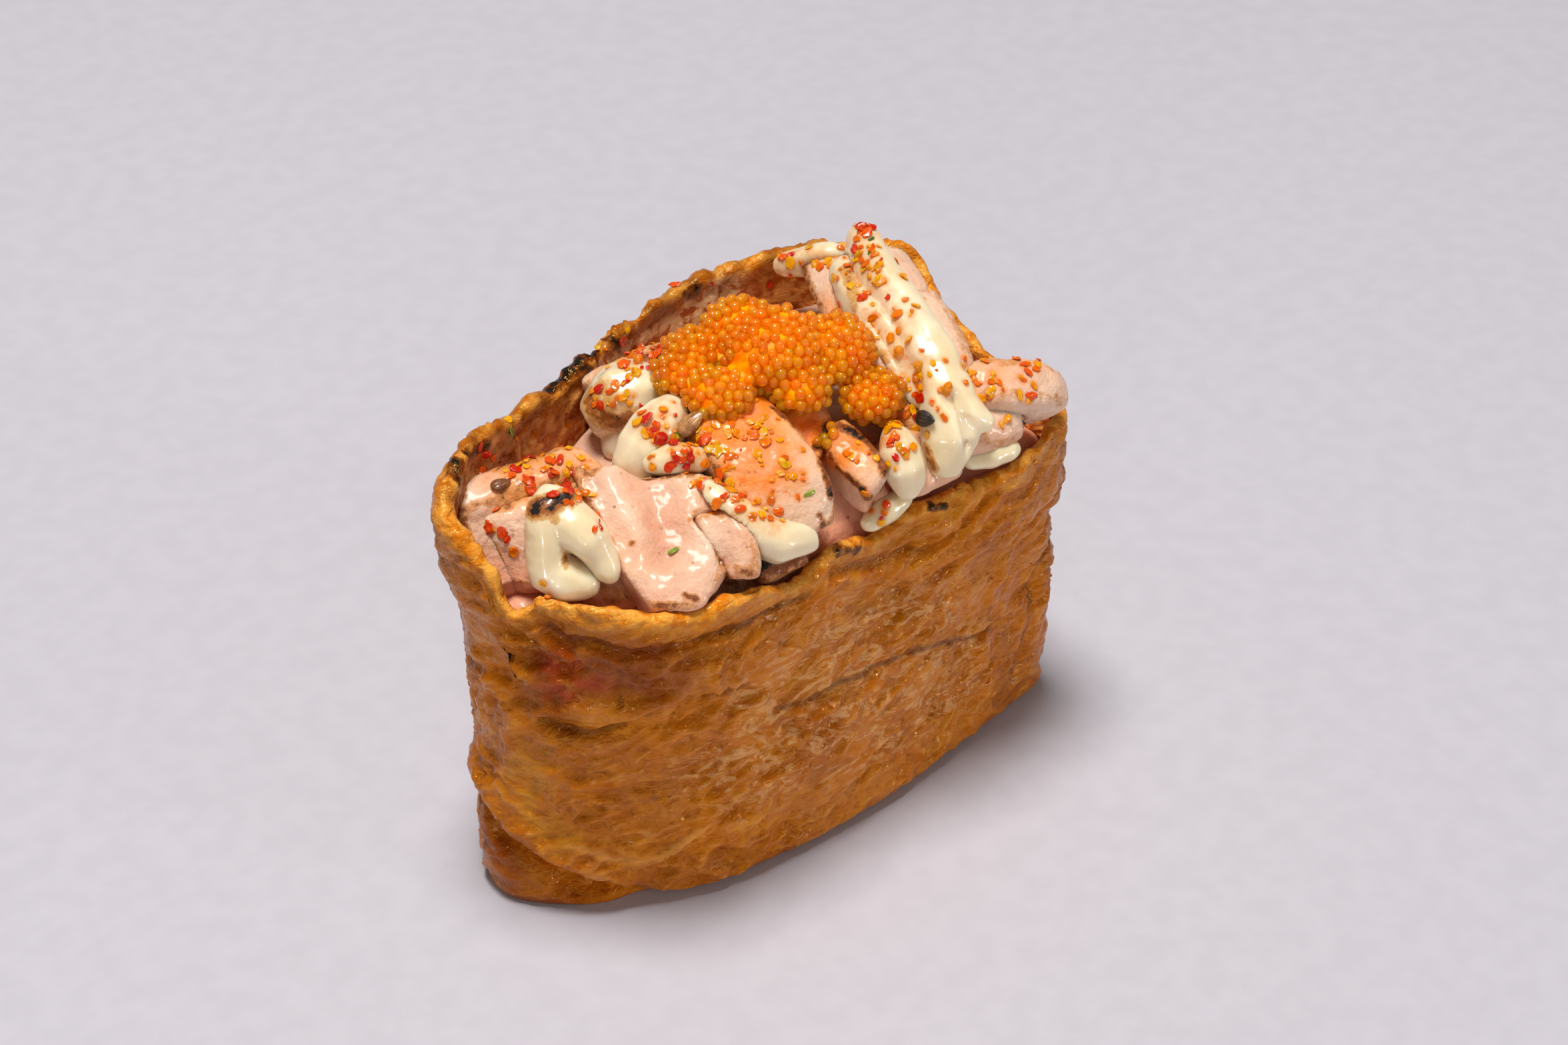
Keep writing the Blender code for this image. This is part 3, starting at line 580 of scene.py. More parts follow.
# Valleys and folds pressed in the slices: path, half width and depth.
FLAKE_LINES = (
    (((-12.2, -1.5, 44.2), (-13.3, -4.2, 43.9), (-13.8, -6.3, 43.2), (-14.5, -7.9, 42.5),
      (-15.0, -9.4, 41.7), (-15.8, -10.6, 40.8)), 1.7, 0.75),
    (((-16.0, 0.5, 44.4), (-17.6, -2.6, 43.3), (-18.2, -5.7, 42.0), (-18.6, -8.8, 40.2)), 1.0, 0.25),
    (((-10.6, -3.5, 43.8), (-12.0, -6.9, 43.2), (-12.9, -9.6, 42.0), (-14.0, -12.0, 40.3)), 1.1, 0.28),
    (((-10.0, -9.6, 42.8), (-10.4, -11.0, 42.4), (-10.8, -12.8, 41.3), (-11.9, -13.9, 39.7)), 1.0, 0.35),
    (((22.9, -12.9, 42.0), (22.1, -13.6, 40.4), (22.6, -14.0, 39.2)), 0.9, 0.7),
    (((24.3, -15.2, 42.0), (25.1, -15.4, 41.1)), 0.5, 0.3),
    (((17.9, -14.5, 40.3), (19.4, -15.2, 38.7)), 0.7, 0.4),
    (((4.4, -14.5, 38.6), (6.1, -14.4, 37.9), (8.0, -14.6, 37.8)), 0.7, 0.4),
    (((-25.3, 2.9, 42.0), (-25.4, 2.7, 39.7), (-24.6, 3.0, 36.5)), 0.8, 0.3),
)

# Where the torch has browned them: path, reach and how dark, 1 being black.
SEARS = (
    (((-27.6, 8.6, 42.6), (-23.0, 7.0, 42.8), (-22.3, 4.6, 43.2), (-20.1, 4.4, 43.4),
      (-17.0, 4.4, 43.6)), 1.2, 0.5),
    (((-24.6, 2.0, 41.9), (-21.3, 2.0, 42.2), (-19.1, 0.9, 42.9), (-17.0, 0.2, 43.4)), 1.0, 0.45),
    (((-20.6, -1.2, 43.0), (-18.0, -0.7, 43.7), (-16.4, -0.4, 44.3)), 0.9, 0.55),
    (((-16.6, -14.2, 38.4), (-16.0, -14.8, 38.2)), 0.45, 0.8),
    (((-12.9, -4.1, 44.0), (-11.5, -4.9, 44.0), (-9.7, -6.5, 43.6)), 0.5, 0.6),
    (((-17.9, -8.3, 41.3),), 0.4, 0.9),
    (((-11.2, -14.9, 39.2), (-10.3, -15.7, 38.5)), 0.5, 0.6),
    (((0.0, -3.6, 47.6), (0.3, -6.8, 45.8), (0.5, -9.0, 44.8), (0.3, -12.2, 43.5),
      (0.0, -14.2, 41.6)), 0.45, 0.9),
    (((-1.7, -14.5, 40.3), (-1.6, -14.9, 39.4)), 0.45, 0.9),
    (((4.6, -8.0, 43.2), (5.1, -8.6, 43.2), (5.6, -9.6, 43.5), (6.1, -10.9, 43.2)), 0.8, 1.0),
    (((2.3, -9.1, 42.7), (3.9, -8.8, 43.3)), 0.6, 0.9),
    (((3.3, -11.4, 41.6), (3.2, -12.8, 41.4), (3.4, -14.6, 40.9), (3.8, -15.2, 39.8)), 0.5, 0.95),
    (((6.2, -11.8, 42.9), (6.2, -13.4, 42.4), (5.7, -14.6, 41.8)), 0.7, 0.75),
    (((12.1, -10.1, 43.7), (12.3, -10.8, 43.3)), 0.8, 0.7),
    (((20.8, -12.0, 44.0), (22.9, -12.1, 44.1)), 0.4, 0.7),
    (((23.2, -11.6, 44.2), (24.0, -11.9, 44.1)), 0.35, 0.5),
    (((-3.1, 6.8, 46.3), (-3.7, 5.0, 47.4), (-6.0, 6.0, 46.4)), 1.8, 0.8),
    (((-9.5, 9.0, 45.2), (-6.0, 8.4, 46.0), (-2.5, 6.4, 46.8)), 1.2, 0.8),
    (((-9.6, -12.4, 37.4), (-6.4, -12.6, 37.6), (-3.2, -12.4, 36.8)), 3.0, 1.0),
    (((15.2, 10.8, 47.2), (17.6, 10.2, 48.0)), 0.8, 0.5),
    (((20.0, 7.0, 48.4), (22.6, 6.2, 48.0)), 0.8, 0.6),
)

# Where orange juice has run off the roe and the chilli.
JUICES = (
    (((-4.0, -2.0, 46.8), (-2.0, -4.4, 46.4), (0.0, -4.6, 46.0)), 3.0, 1.0),
    (((-6.6, -3.4, 46.0), (-5.6, -6.0, 45.2)), 2.4, 0.95),
    (((-4.6, -3.0, 46.6), (-3.6, -6.4, 45.6), (-4.4, -9.5, 44.4)), 5.0, 0.9),
    (((2.0, -5.0, 45.0), (2.5, -8.0, 43.6), (4.4, -10.6, 43.2)), 3.8, 0.95),
    (((8.0, -9.0, 42.6), (10.5, -9.5, 42.6)), 3.6, 0.9),
    (((-6.0, 8.0, 46.0), (-1.0, 5.0, 47.0)), 3.5, 0.7),
    (((13.0, 3.0, 46.4), (13.5, -2.0, 46.0)), 3.5, 0.6),
    (((-22.0, 3.4, 43.2), (-17.0, 2.8, 43.6)), 3.4, 0.75),
    (((20.4, -11.4, 44.0), (19.2, -11.3, 43.8)), 2.6, 0.45),
    (((27.0, -12.0, 43.0),), 2.0, 0.4),
)


def worked_out(rough):
    """The plain mesh that an object's modifiers make. The object itself is dropped."""
    graph = bpy.context.evaluated_depsgraph_get()
    mesh = bpy.data.meshes.new_from_object(rough.evaluated_get(graph))
    bpy.data.objects.remove(rough)
    return mesh


def fleshed_out(node, voxel, rounds, grow):
    """A copy of a CAD node, evenly meshed, with its edges worn round and its skin moved out."""
    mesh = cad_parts[node].data.copy()
    build = bmesh.new()
    build.from_mesh(mesh)
    bmesh.ops.remove_doubles(build, verts=build.verts, dist=0.001 * MM)
    build.to_mesh(mesh)
    build.free()
    rough = laid_out(node + "_rough", mesh)
    remesh = rough.modifiers.new("even", "REMESH")
    remesh.mode = "VOXEL"
    remesh.voxel_size = voxel * MM
    smooth = rough.modifiers.new("worn", "SMOOTH")
    smooth.factor = 0.5
    smooth.iterations = rounds
    mesh = worked_out(rough)
    mesh.materials.clear()
    mesh.shade_smooth()
    piece = laid_out("dressed_" + node, mesh)
    set_points(piece, points_of(piece) + normals_of(piece) * grow)
    return piece


def slumped(spots):
    """The left slices leaned on the wall, with their foot spread out down to the rim."""
    foot = np.clip((41.8 - spots[:, 2]) / 5.0, 0, 1) * eased((-17.0 - spots[:, 0]) / 3.0)
    lean = eased((-22.0 - spots[:, 0]) / 4.0)
    return spots + np.stack([-0.8 * foot - 0.7 * lean, -4.4 * foot, 0 * foot], axis=1)


def pressed(spots, lines):
    """How deep the lines press in at each point."""
    depth = np.zeros(len(spots))
    for path, half, deep in lines:
        depth = depth + PRESS * deep * eased(near(spots, path, half * 1.6))
    return depth


def browned(spots, sears):
    """How much each point has of what lies along the paths, 0 to 1."""
    amount = np.zeros(len(spots))
    for path, reach, dark in sears:
        amount = np.maximum(amount, dark * eased(near(spots, path, reach * 1.5) * 1.3))
    return amount


def edges_of(piece, rounds):
    """How far each point stands out from the skin around it: most along edges and at corners."""
    one, other = numbers(piece.data.edges, "vertices", 2, np.int32).T
    spots = points_of(piece)
    total = len(spots)
    count = np.bincount(one, minlength=total) + np.bincount(other, minlength=total)
    level = spots
    for _ in range(rounds):
        sides = [np.bincount(one, level[other, axis], total) + np.bincount(other, level[one, axis], total)
                 for axis in range(3)]
        level = np.stack(sides, axis=1) / count[:, None]
    return ((spots - level) * normals_of(piece)).sum(axis=1)


def charred(tree, plain, colour, size, detail, rough, edge, tones):
    """The colour toasted, browned and charred by how long the torch lingered, and that heat.

    The three tones are each two heats between which it comes in, how much of it, and a colour.
    """
    torn = unevenly(tree, mark(tree, "sear"), plain, size, detail, rough, 1.5)
    heat = times(tree, torn, stepped(tree, mark(tree, "sear"), 0.02, edge))
    coats = [(stepped(tree, heat, low, high, 0.0, most), shade(*tone)) for low, high, most, tone in tones]
    return painted(tree, colour, *coats), heat


def salmon_finish():
    finish, tree, surface = new_finish("torched_salmon", {
        "Subsurface Radius": (1.0, 0.42, 0.28), "Subsurface Scale": 1.3 * MM, "Specular IOR Level": 0.25,
        "Coat Weight": 0.25, "Coat Roughness": 0.14})
    plain = turned(tree)
    broad = speckle(tree, plain, 7.0, 3.0, 0.5)
    mottle = speckle(tree, plain, 1.6, 4.0, 0.6)
    wet = stepped(tree, speckle(tree, plain, 1.8, 3.0), 0.3, 0.7, 0.35, 1.0)
    smear = stepped(tree, speckle(tree, plain, 1.2, 4.0, 0.6, 1.0), 0.56, 0.66, 0.0, 0.6)
    # Brown specks spat by the torch.
    spots = add(tree, "ShaderNodeTexVoronoi", {"Vector": plain, "Scale": 700.0, "Randomness": 1.0})
    few = stepped(tree, speckle(tree, plain, 4.0, 2.0), 0.46, 0.58)
    dots = times(tree, stepped(tree, spots.outputs["Distance"], 0.16, 0.05), few)
    flesh = painted(
        tree, shade(222, 168, 134),
        (stepped(tree, broad, 0.36, 0.66), shade(229, 192, 162)),
        (stepped(tree, mottle, 0.5, 0.72, 0.0, 0.5), shade(226, 196, 172)),
        # Painted highlight on the ridges and painted shade in the valleys.
        (mark(tree, "ridge_highlight", 0.5), shade(226, 196, 174)),
        (mark(tree, "valley", 0.45), shade(208, 140, 112)),
        # Painted shade: the redder pink of salmon in shade, on the low parts and by the back wall.
        (mark(tree, "deep", 0.75), shade(238, 158, 122)),
        (times(tree, mark(tree, "juice"), wet), shade(236, 140, 4)),
        (stepped(tree, mark(tree, "juice"), 0.7, 1.0, 0.0, 0.7), shade(240, 118, 8)),
        (times(tree, smear, stepped(tree, mark(tree, "juice"), 0.2, 0.7)), shade(232, 104, 6)),
        (stepped(tree, mark(tree, "halo"), 0.25, 1.0, 0.0, 0.7), shade(228, 128, 14)),
        (times(tree, dots, 0.7), shade(160, 84, 30)))
    flesh, heat = charred(tree, plain, flesh, 0.8, 5.0, 0.65, 0.25, (
        (0.12, 0.4, 0.75, (200, 132, 62)), (0.42, 0.72, 0.9, (124, 58, 14)),
        (0.82, 0.98, 1.0, (24, 16, 14))))
    wire(tree, surface.inputs["Base Color"], flesh)
    wire(tree, surface.inputs["Roughness"], stepped(tree, mottle, 0.35, 0.65, 0.3, 0.5))
    wire(tree, surface.inputs["Subsurface Weight"], stepped(tree, heat, 0.3, 0.8, 0.5, 0.0))
    normal = raised(tree, speckle(tree, plain, 0.6, 4.0, 0.65), 0.24)
    wire(tree, surface.inputs["Normal"], raised(tree, heat, 0.08, normal))
    return finish


salmon = salmon_finish()
dressed = []
for node in ("salmon_bed",) + SLICES:
    bed = node == "salmon_bed"
    voxel, rounds = (BED_VOXEL, BED_ROUNDS) if bed else (SALMON_VOXEL, SALMON_ROUNDS)
    piece = fleshed_out(node, voxel, rounds, SWOLLEN_GROW if node in SWOLLEN else SALMON_GROW)
    if node in SLUMPED:
        set_points(piece, slumped(points_of(piece)))
    spots = points_of(piece)
    out = normals_of(piece)
    valley = pressed(spots, FLAKE_LINES)
    flakes = grain(spots * np.array([1.0, 0.6, 0.8]), 3.2, 5.0)
    relief = 0.22 * flakes + 0.16 * grain(spots, 1.6, 15.0) + 0.05 * grain(spots, 0.6, 25.0)
    edges = eased((edges_of(piece, EDGE_ROUNDS) - 0.05) / 0.18) * eased(out[:, 2] + 0.75)
    licked = edges * eased(0.5 + 1.3 * grain(spots, 3.4, 51.0)) * (HARDLY_LICKED if node in PALE else LICKED)
    sear = np.maximum(browned(spots, SEARS), 0.0 if bed else licked)
    crust = sear * (0.20 * grain(spots, 0.7, 35.0) - 0.05)
    if bed:
        relief = relief + 0.7 * grain(spots, 4.4, 63.0)
    set_points(piece, spots + out * (relief + crust - valley)[:, None])
    marked(piece, "sear", sear)
    marked(piece, "juice", browned(spots, JUICES))
    # Painted shade in the valleys and painted highlight on the ridges of the flakes.
    marked(piece, "valley", valley * 1.2 - 0.3 * flakes)
    marked(piece, "ridge_highlight", 0.5 + flakes - valley)
    # Painted shade: the low parts and those by the back wall are marked for the redder pink that salmon
    # shows in shade.
    shade_by_wall = near(spots, ((-27.0, 3.0, 42.0), (-21.0, 0.0, 42.0)), 7.0)
    marked(piece, "deep", (40.0 - spots[:, 2]) / 5.0 + 0.35 * shade_by_wall)
    piece.data.materials.append(salmon)
    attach(piece, "root")
    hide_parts(node)
    dressed.append(piece)

# --- Mayonnaise ----------------------------------------------------------------------------
# Piped in thick smooth strands that end in a curl or a peak, then torched, so its high parts
# are toasted amber, brown or black. It is glossy and a little see-through at the edges.

MAYONNAISE = (
    "mayo_front_left", "mayo_ball", "mayo_tongue", "mayo_dollop", "mayo_front_edge",
    "mayo_drop", "mayo_rope", "mayo_rim_front", "mayo_rim_right", "mayo_back_ridge",
)
MAYO_VOXEL, MAYO_ROUNDS = 0.2, 16
MAYO_GROW, FRONT_GROW = 0.25, 0.45
# Dimples where a strand doubles back: path, half width and depth.
PRESSED = (
    (((14.1, -14.6, 46.2), (14.4, -16.0, 44.2), (14.3, -16.8, 42.0)), 0.9, 0.9),
    (((13.6, -3.0, 48.6), (12.6, -6.6, 47.8), (12.2, -10.0, 46.8)), 0.9, 0.5),
    (((18.0, 3.0, 50.6), (17.2, 0.6, 50.2), (16.8, -2.6, 49.4)), 0.8, 0.35),
)
# Where the torch has browned it, and where juice has run over it: path, reach and how much.
TORCHED = (
    (((-24.3, -3.0, 45.0), (-23.6, -3.8, 45.5), (-22.1, -4.0, 45.4)), 1.1, 0.95),
    (((-23.4, -4.6, 44.6),), 0.7, 0.8),
    (((-23.6, -5.7, 41.3), (-24.0, -6.4, 40.3)), 0.5, 0.8),
    (((-11.0, 7.3, 44.7), (-11.1, 6.4, 44.3), (-10.8, 5.5, 43.9), (-10.1, 4.4, 43.7),
      (-9.1, 3.6, 43.9)), 1.2, 0.72),
    (((-10.3, 6.5, 45.6), (-10.5, 5.2, 45.0)), 1.4, 0.4),
    (((17.0, 4.3, 48.8), (15.9, 2.4, 48.7), (14.4, -0.6, 48.2)), 0.7, 0.6),
    (((9.4, -5.5, 49.6), (12.2, -6.3, 47.0)), 0.9, 0.6),
    (((11.4, -14.5, 41.6), (11.2, -15.4, 40.2)), 0.7, 0.6),
)
STAINED = (
    (((-10.1, -0.9, 46.9), (-8.6, -2.4, 46.2), (-9.3, -6.0, 44.3)), 2.0, 0.7),
    (((-8.7, -11.7, 43.0), (-6.9, -13.6, 41.8)), 1.8, 0.5),
    (((7.2, -11.6, 43.4), (8.2, -12.6, 43.0)), 2.0, 0.7),
    (((18.6, 4.6, 50.6), (16.4, 0.4, 49.6), (14.2, -3.9, 48.6), (13.6, -9.9, 47.2)), 2.6, 0.42),
    (((-20.0, -4.0, 43.6), (-21.0, -6.0, 42.6)), 1.6, 0.35),
    (((-11.0, 4.6, 45.8),), 3.0, 0.35),
    (((15.4, 11.6, 46.4), (16.6, 9.6, 47.4)), 1.8, 0.5),
    (((-7.0, 8.6, 46.4), (-6.6, 6.4, 46.6)), 1.4, 0.4),
)


def mayonnaise_finish():
    finish, tree, surface = new_finish("torched_mayonnaise", {
        "Subsurface Radius": (1.0, 0.75, 0.45), "Subsurface Scale": 1.6 * MM, "Coat Weight": 0.6,
        "Coat Roughness": 0.08})
    plain = turned(tree)
    wet = stepped(tree, speckle(tree, plain, 1.2, 3.0), 0.35, 0.65, 0.2, 1.0)
    smear = stepped(tree, speckle(tree, plain, 1.2, 4.0, 0.6, 1.0), 0.56, 0.66, 0.0, 0.75)
    cream = painted(
        tree, shade(230, 210, 170),
        (stepped(tree, speckle(tree, plain, 5.0, 3.0), 0.35, 0.65), shade(236, 220, 188)),
        (times(tree, mark(tree, "juice"), wet), shade(220, 140, 46)),
        (times(tree, smear, stepped(tree, mark(tree, "juice"), 0.15, 0.6)), shade(230, 118, 14)),
        (stepped(tree, mark(tree, "halo"), 0.3, 1.0, 0.0, 0.6), shade(230, 148, 24)))
    cream, heat = charred(tree, plain, cream, 0.9, 6.0, 0.68, 0.2, (
        (0.08, 0.38, 0.85, (204, 148, 66)), (0.46, 0.7, 0.95, (150, 78, 14)),
        (0.80, 0.95, 1.0, (22, 14, 12))))
    wire(tree, surface.inputs["Base Color"], cream)
    wire(tree, surface.inputs["Roughness"], stepped(tree, heat, 0.3, 0.8, 0.28, 0.5))
    wire(tree, surface.inputs["Subsurface Weight"], stepped(tree, heat, 0.3, 0.8, 0.8, 0.0))
    normal = raised(tree, speckle(tree, plain, 1.4, 2.0), 0.10)
    wire(tree, surface.inputs["Normal"], raised(tree, heat, 0.06, normal))
    return finish


mayonnaise = mayonnaise_finish()
for node in MAYONNAISE:
    grow = FRONT_GROW if node == "mayo_front_left" else MAYO_GROW
    piece = fleshed_out(node, MAYO_VOXEL, MAYO_ROUNDS, grow)
    spots = points_of(piece)
    out = normals_of(piece)
    sear = browned(spots, TORCHED)
    relief = 0.22 * grain(spots, 2.6, 6.0) + 0.05 * grain(spots, 1.1, 16.0)
    relief = relief + 0.12 * sear * grain(spots, 0.7, 26.0)
    set_points(piece, spots + out * (relief - pressed(spots, PRESSED))[:, None])
    marked(piece, "sear", sear)
    marked(piece, "juice", browned(spots, STAINED))
    piece.data.materials.append(mayonnaise)
    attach(piece, "root")
    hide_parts(node)
    dressed.append(piece)

# --- Roe ---------------------------------------------------------------------------------
# Fish roe spooned on in a heap: round see-through eggs about a millimetre across, held together
# by their own juice, which glows orange deep between them.

EGG = 1.08
EGG_ROUNDS = 36
EGG_DEPTH = 0.20
EGG_SPREAD = 0.8 * 1.25
CORE_UNDER = 0.42
FACETS = 2
# A few eggs that rolled off against the browned slice.
STRAYED = ((3.2, -9.7), (4.1, -9.5), (3.6, -8.8), (2.7, -8.9), (4.5, -8.7))


def surface_of(pieces):
    """One search tree over the pieces as they stand, in millimetres, and its triangles."""
    corners = []
    faces = []
    for piece in pieces:
        piece.data.calc_loop_triangles()
        tri = numbers(piece.data.loop_triangles, "vertices", 3, np.int32)
        faces.append(tri + sum(len(c) for c in corners))
        corners.append(points_of(piece))
    corners, faces = np.concatenate(corners), np.concatenate(faces)
    return BVHTree.FromPolygons(corners.tolist(), faces.tolist()), corners, faces


def sown(corners, faces, count, random):
    """Points spread evenly by area over the triangles."""
    a, b, c = (corners[faces[:, k]] for k in range(3))
    area = np.linalg.norm(np.cross(b - a, c - a), axis=1)
    pick = random.choice(len(faces), count, p=area / area.sum())
    u, v = random.random((2, count))
    flip = u + v > 1
    u[flip], v[flip] = 1 - u[flip], 1 - v[flip]
    return a[pick] + (b - a)[pick] * u[:, None] + (c - a)[pick] * v[:, None]


def packed_eggs(tree, corners, faces, random):
    """Egg places and sizes: sown just under the skin of the heap, then pushed apart."""
    a, b, c = (corners[faces[:, k]] for k in range(3))
    area = np.linalg.norm(np.cross(b - a, c - a), axis=1).sum() / 2
    count = int(area / (EGG * EGG * EGG_SPREAD))
    places = sown(corners, faces, count, random)
    depths = EGG_DEPTH + random.normal(0, 0.12, count)
    sizes = EGG * np.clip(random.normal(1.0, 0.08, len(places)), 0.8, 1.18)
    for _ in range(EGG_ROUNDS):
        reach = KDTree(len(places))
        for i, p in enumerate(places.tolist()):
            reach.insert(p, i)
        reach.balance()
        push = np.zeros_like(places)
        for i, p in enumerate(places.tolist()):
            for q, j, gap in reach.find_range(p, EGG * 1.15):
                want = (sizes[i] + sizes[j]) * 0.48
                if j != i and 1e-6 < gap < want:
                    push[i] += (places[i] - places[j]) / gap * (want - gap) * 0.45
        places = places + np.clip(push, -0.3, 0.3)
        for i, p in enumerate(places.tolist()):
            spot, normal, _, _ = tree.find_nearest(p)
            inwards = -(Vector(p) - spot).dot(normal)
            places[i] += np.array(normal) * (inwards - depths[i]) * 0.4
    return places, sizes


def strewn_tree():
    """Puts one small body on every point: an egg when it is smooth, a chip when it is ragged."""
    tree = bpy.data.node_groups.new("strewn", "GeometryNodeTree")
    face = tree.interface
    face.new_socket("Geometry", in_out="INPUT", socket_type="NodeSocketGeometry")
    for name, kind, value in (("Width", "NodeSocketFloat", 0.001), ("Facets", "NodeSocketInt", FACETS),
                              ("Ragged", "NodeSocketFloat", 0.0), ("Grain", "NodeSocketFloat", 2000.0),
                              ("Smooth", "NodeSocketBool", True)):
        face.new_socket(name, in_out="INPUT", socket_type=kind).default_value = value
    face.new_socket("Finish", in_out="INPUT", socket_type="NodeSocketMaterial")
    face.new_socket("Geometry", in_out="OUTPUT", socket_type="NodeSocketGeometry")
    given = tree.nodes.new("NodeGroupInput").outputs
    half = times(tree, given["Width"], 0.5)
    body = add(tree, "GeometryNodeMeshIcoSphere", {"Radius": half, "Subdivisions": given["Facets"]})
    size, turn = (add(tree, "GeometryNodeInputNamedAttribute", {"Name": name}, data_type="FLOAT_VECTOR")
                  for name in ("size", "turn"))
    turn = add(tree, "FunctionNodeEulerToRotation", {"Euler": turn.outputs["Attribute"]})
    placed = add(tree, "GeometryNodeInstanceOnPoints", {
        "Points": given["Geometry"], "Instance": body.outputs["Mesh"],
        "Rotation": turn.outputs["Rotation"], "Scale": size.outputs["Attribute"]})
    whole = add(tree, "GeometryNodeRealizeInstances", {"Geometry": placed.outputs["Instances"]})
    torn = add(tree, "ShaderNodeTexNoise", {"Scale": given["Grain"], "Detail": 1.0})
    shift = add(tree, "ShaderNodeVectorMath", operation="SUBTRACT")
    wire(tree, shift.inputs[0], torn.outputs["Color"])
    shift.inputs[1].default_value = (0.5, 0.5, 0.5)
    scaled = add(tree, "ShaderNodeVectorMath", {"Scale": given["Ragged"]}, operation="SCALE")
    wire(tree, scaled.inputs[0], shift.outputs[0])
    made = whole.outputs["Geometry"]
    for kind, socket, value in (("SetPosition", "Offset", scaled.outputs[0]),
                                ("SetShadeSmooth", "Shade Smooth", given["Smooth"]),
                                ("SetMaterial", "Material", given["Finish"])):
        made = add(tree, "GeometryNode" + kind, {"Geometry": made, socket: value}).outputs["Geometry"]
    wire(tree, tree.nodes.new("NodeGroupOutput").inputs["Geometry"], made)
    return tree


strewing = strewn_tree()


def strewn(name, places, turns, sizes, tones, finish, width, ragged=0.0, smooth=True):
    """One mesh of small bodies, at places in millimetres, each with its turn, size and tone."""
    seeds = mesh_piece(name + "_seeds", places, [])
    for kind, values in (("turn", turns), ("size", sizes)):
        attribute = seeds.data.attributes.new(kind, "FLOAT_VECTOR", "POINT")
        attribute.data.foreach_set("vector", np.asarray(values, np.float32).ravel())
    marked(seeds, "tone", tones)
    modifier = seeds.modifiers.new("strewn", "NODES")
    modifier.node_group = strewing
    wanted = {"Width": width * MM, "Facets": FACETS, "Ragged": ragged * MM, "Smooth": smooth,
              "Finish": finish}
    for socket in strewing.interface.items_tree:
        if socket.in_out == "INPUT" and socket.name in wanted:
            modifier[socket.identifier] = wanted[socket.name]
    bpy.context.view_layer.update()
    mesh = worked_out(seeds)
    mesh.name = name
    piece = laid_out(name, mesh)
    if not mesh.materials:
        mesh.materials.append(finish)
    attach(piece, "root")
    return piece


def egg_finish():
    finish, tree, surface = new_finish("roe_egg", {
        "Roughness": 0.03, "IOR": 1.36, "Alpha": 0.78, "Transmission Weight": 0.5, "Subsurface Weight": 0.8,
        "Subsurface Radius": (1.0, 0.8, 0.2), "Subsurface Scale": 0.8 * MM, "Coat Weight": 0.6,
        "Coat Roughness": 0.04})
    plain = turned(tree)
    tone = unevenly(tree, mark(tree, "tone"), plain, 3.0)
    # Painted light: the underside of each egg is painted yellow for the light that comes through it.
    facing = add(tree, "ShaderNodeNewGeometry").outputs["Normal"]
    up = add(tree, "ShaderNodeSeparateXYZ", {"Vector": facing}).outputs["Z"]
    orange = painted(
        tree, shade(255, 174, 0),
        (stepped(tree, tone, 0.1, 0.9), shade(255, 144, 0)),
        (stepped(tree, up, 0.05, -0.5, 0.0, 0.85), shade(255, 216, 40)))
    wire(tree, surface.inputs["Base Color"], orange)
    wire(tree, surface.inputs["Normal"], raised(tree, speckle(tree, plain, 0.5, 2.0), 0.02))
    return finish


def roe_core_finish():
    finish, tree, surface = new_finish("roe_juice", {
        "Roughness": 0.4, "Specular IOR Level": 0.1, "Subsurface Weight": 0.6,
        "Subsurface Radius": (1.0, 0.3, 0.05), "Subsurface Scale": 1.0 * MM})
    deep = speckle(tree, turned(tree), 1.2, 3.0)
    juice = painted(tree, shade(252, 118, 0), (stepped(tree, deep, 0.35, 0.65), shade(255, 166, 0)))
    wire(tree, surface.inputs["Base Color"], juice)
    wire(tree, surface.inputs["Normal"], raised(tree, deep, 0.2))
    return finish


core = fleshed_out("roe_heap", 0.3, 4, 0.05)
search, corners, faces = surface_of([core])
random = np.random.default_rng(7)
places, sizes = packed_eggs(search, corners, faces, random)
level = np.array([1.0, 1.0, 0.0])
above = np.array([0.0, 0.0, 60.0])
strays = sown(corners, faces, 90, random) * level
strays = strays + random.normal(0, 1.6, (90, 3)) * level + above
loose = []
tops, _, _ = surface_of(dressed)
for p in strays.tolist() + [[x, y, 60.0] for x, y in STRAYED]:
    spot, _, _, _ = tops.ray_cast(p, (0, 0, -1))
    if spot is not None and search.ray_cast(p, (0, 0, -1))[0] is None and spot[2] > 41:
        loose.append(list(spot + Vector((0, 0, 0.3 * EGG))))
places = np.concatenate([places, np.array(loose)])
sizes = np.concatenate([sizes, np.full(len(loose), 0.96 * EGG)])
roe = strewn("roe_eggs", places, random.random((len(places), 3)) * 6.28,
             (sizes[:, None] / EGG) * (1 + random.normal(0, 0.02, (len(places), 3))),
             random.random(len(places)), egg_finish(), EGG)
core.name = "roe_core"
core.data.materials.append(roe_core_finish())
set_points(core, points_of(core) - normals_of(core) * CORE_UNDER)
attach(core, "root")
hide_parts("roe_heap")

# --- Chilli, spice, herbs and sesame ---------------------------------------------------------
# Shaken over the top before it was served: flat red chilli flakes, orange and yellow grains of
# spice that bleed colour into what they lie on, a few herb bits and sesame seeds.

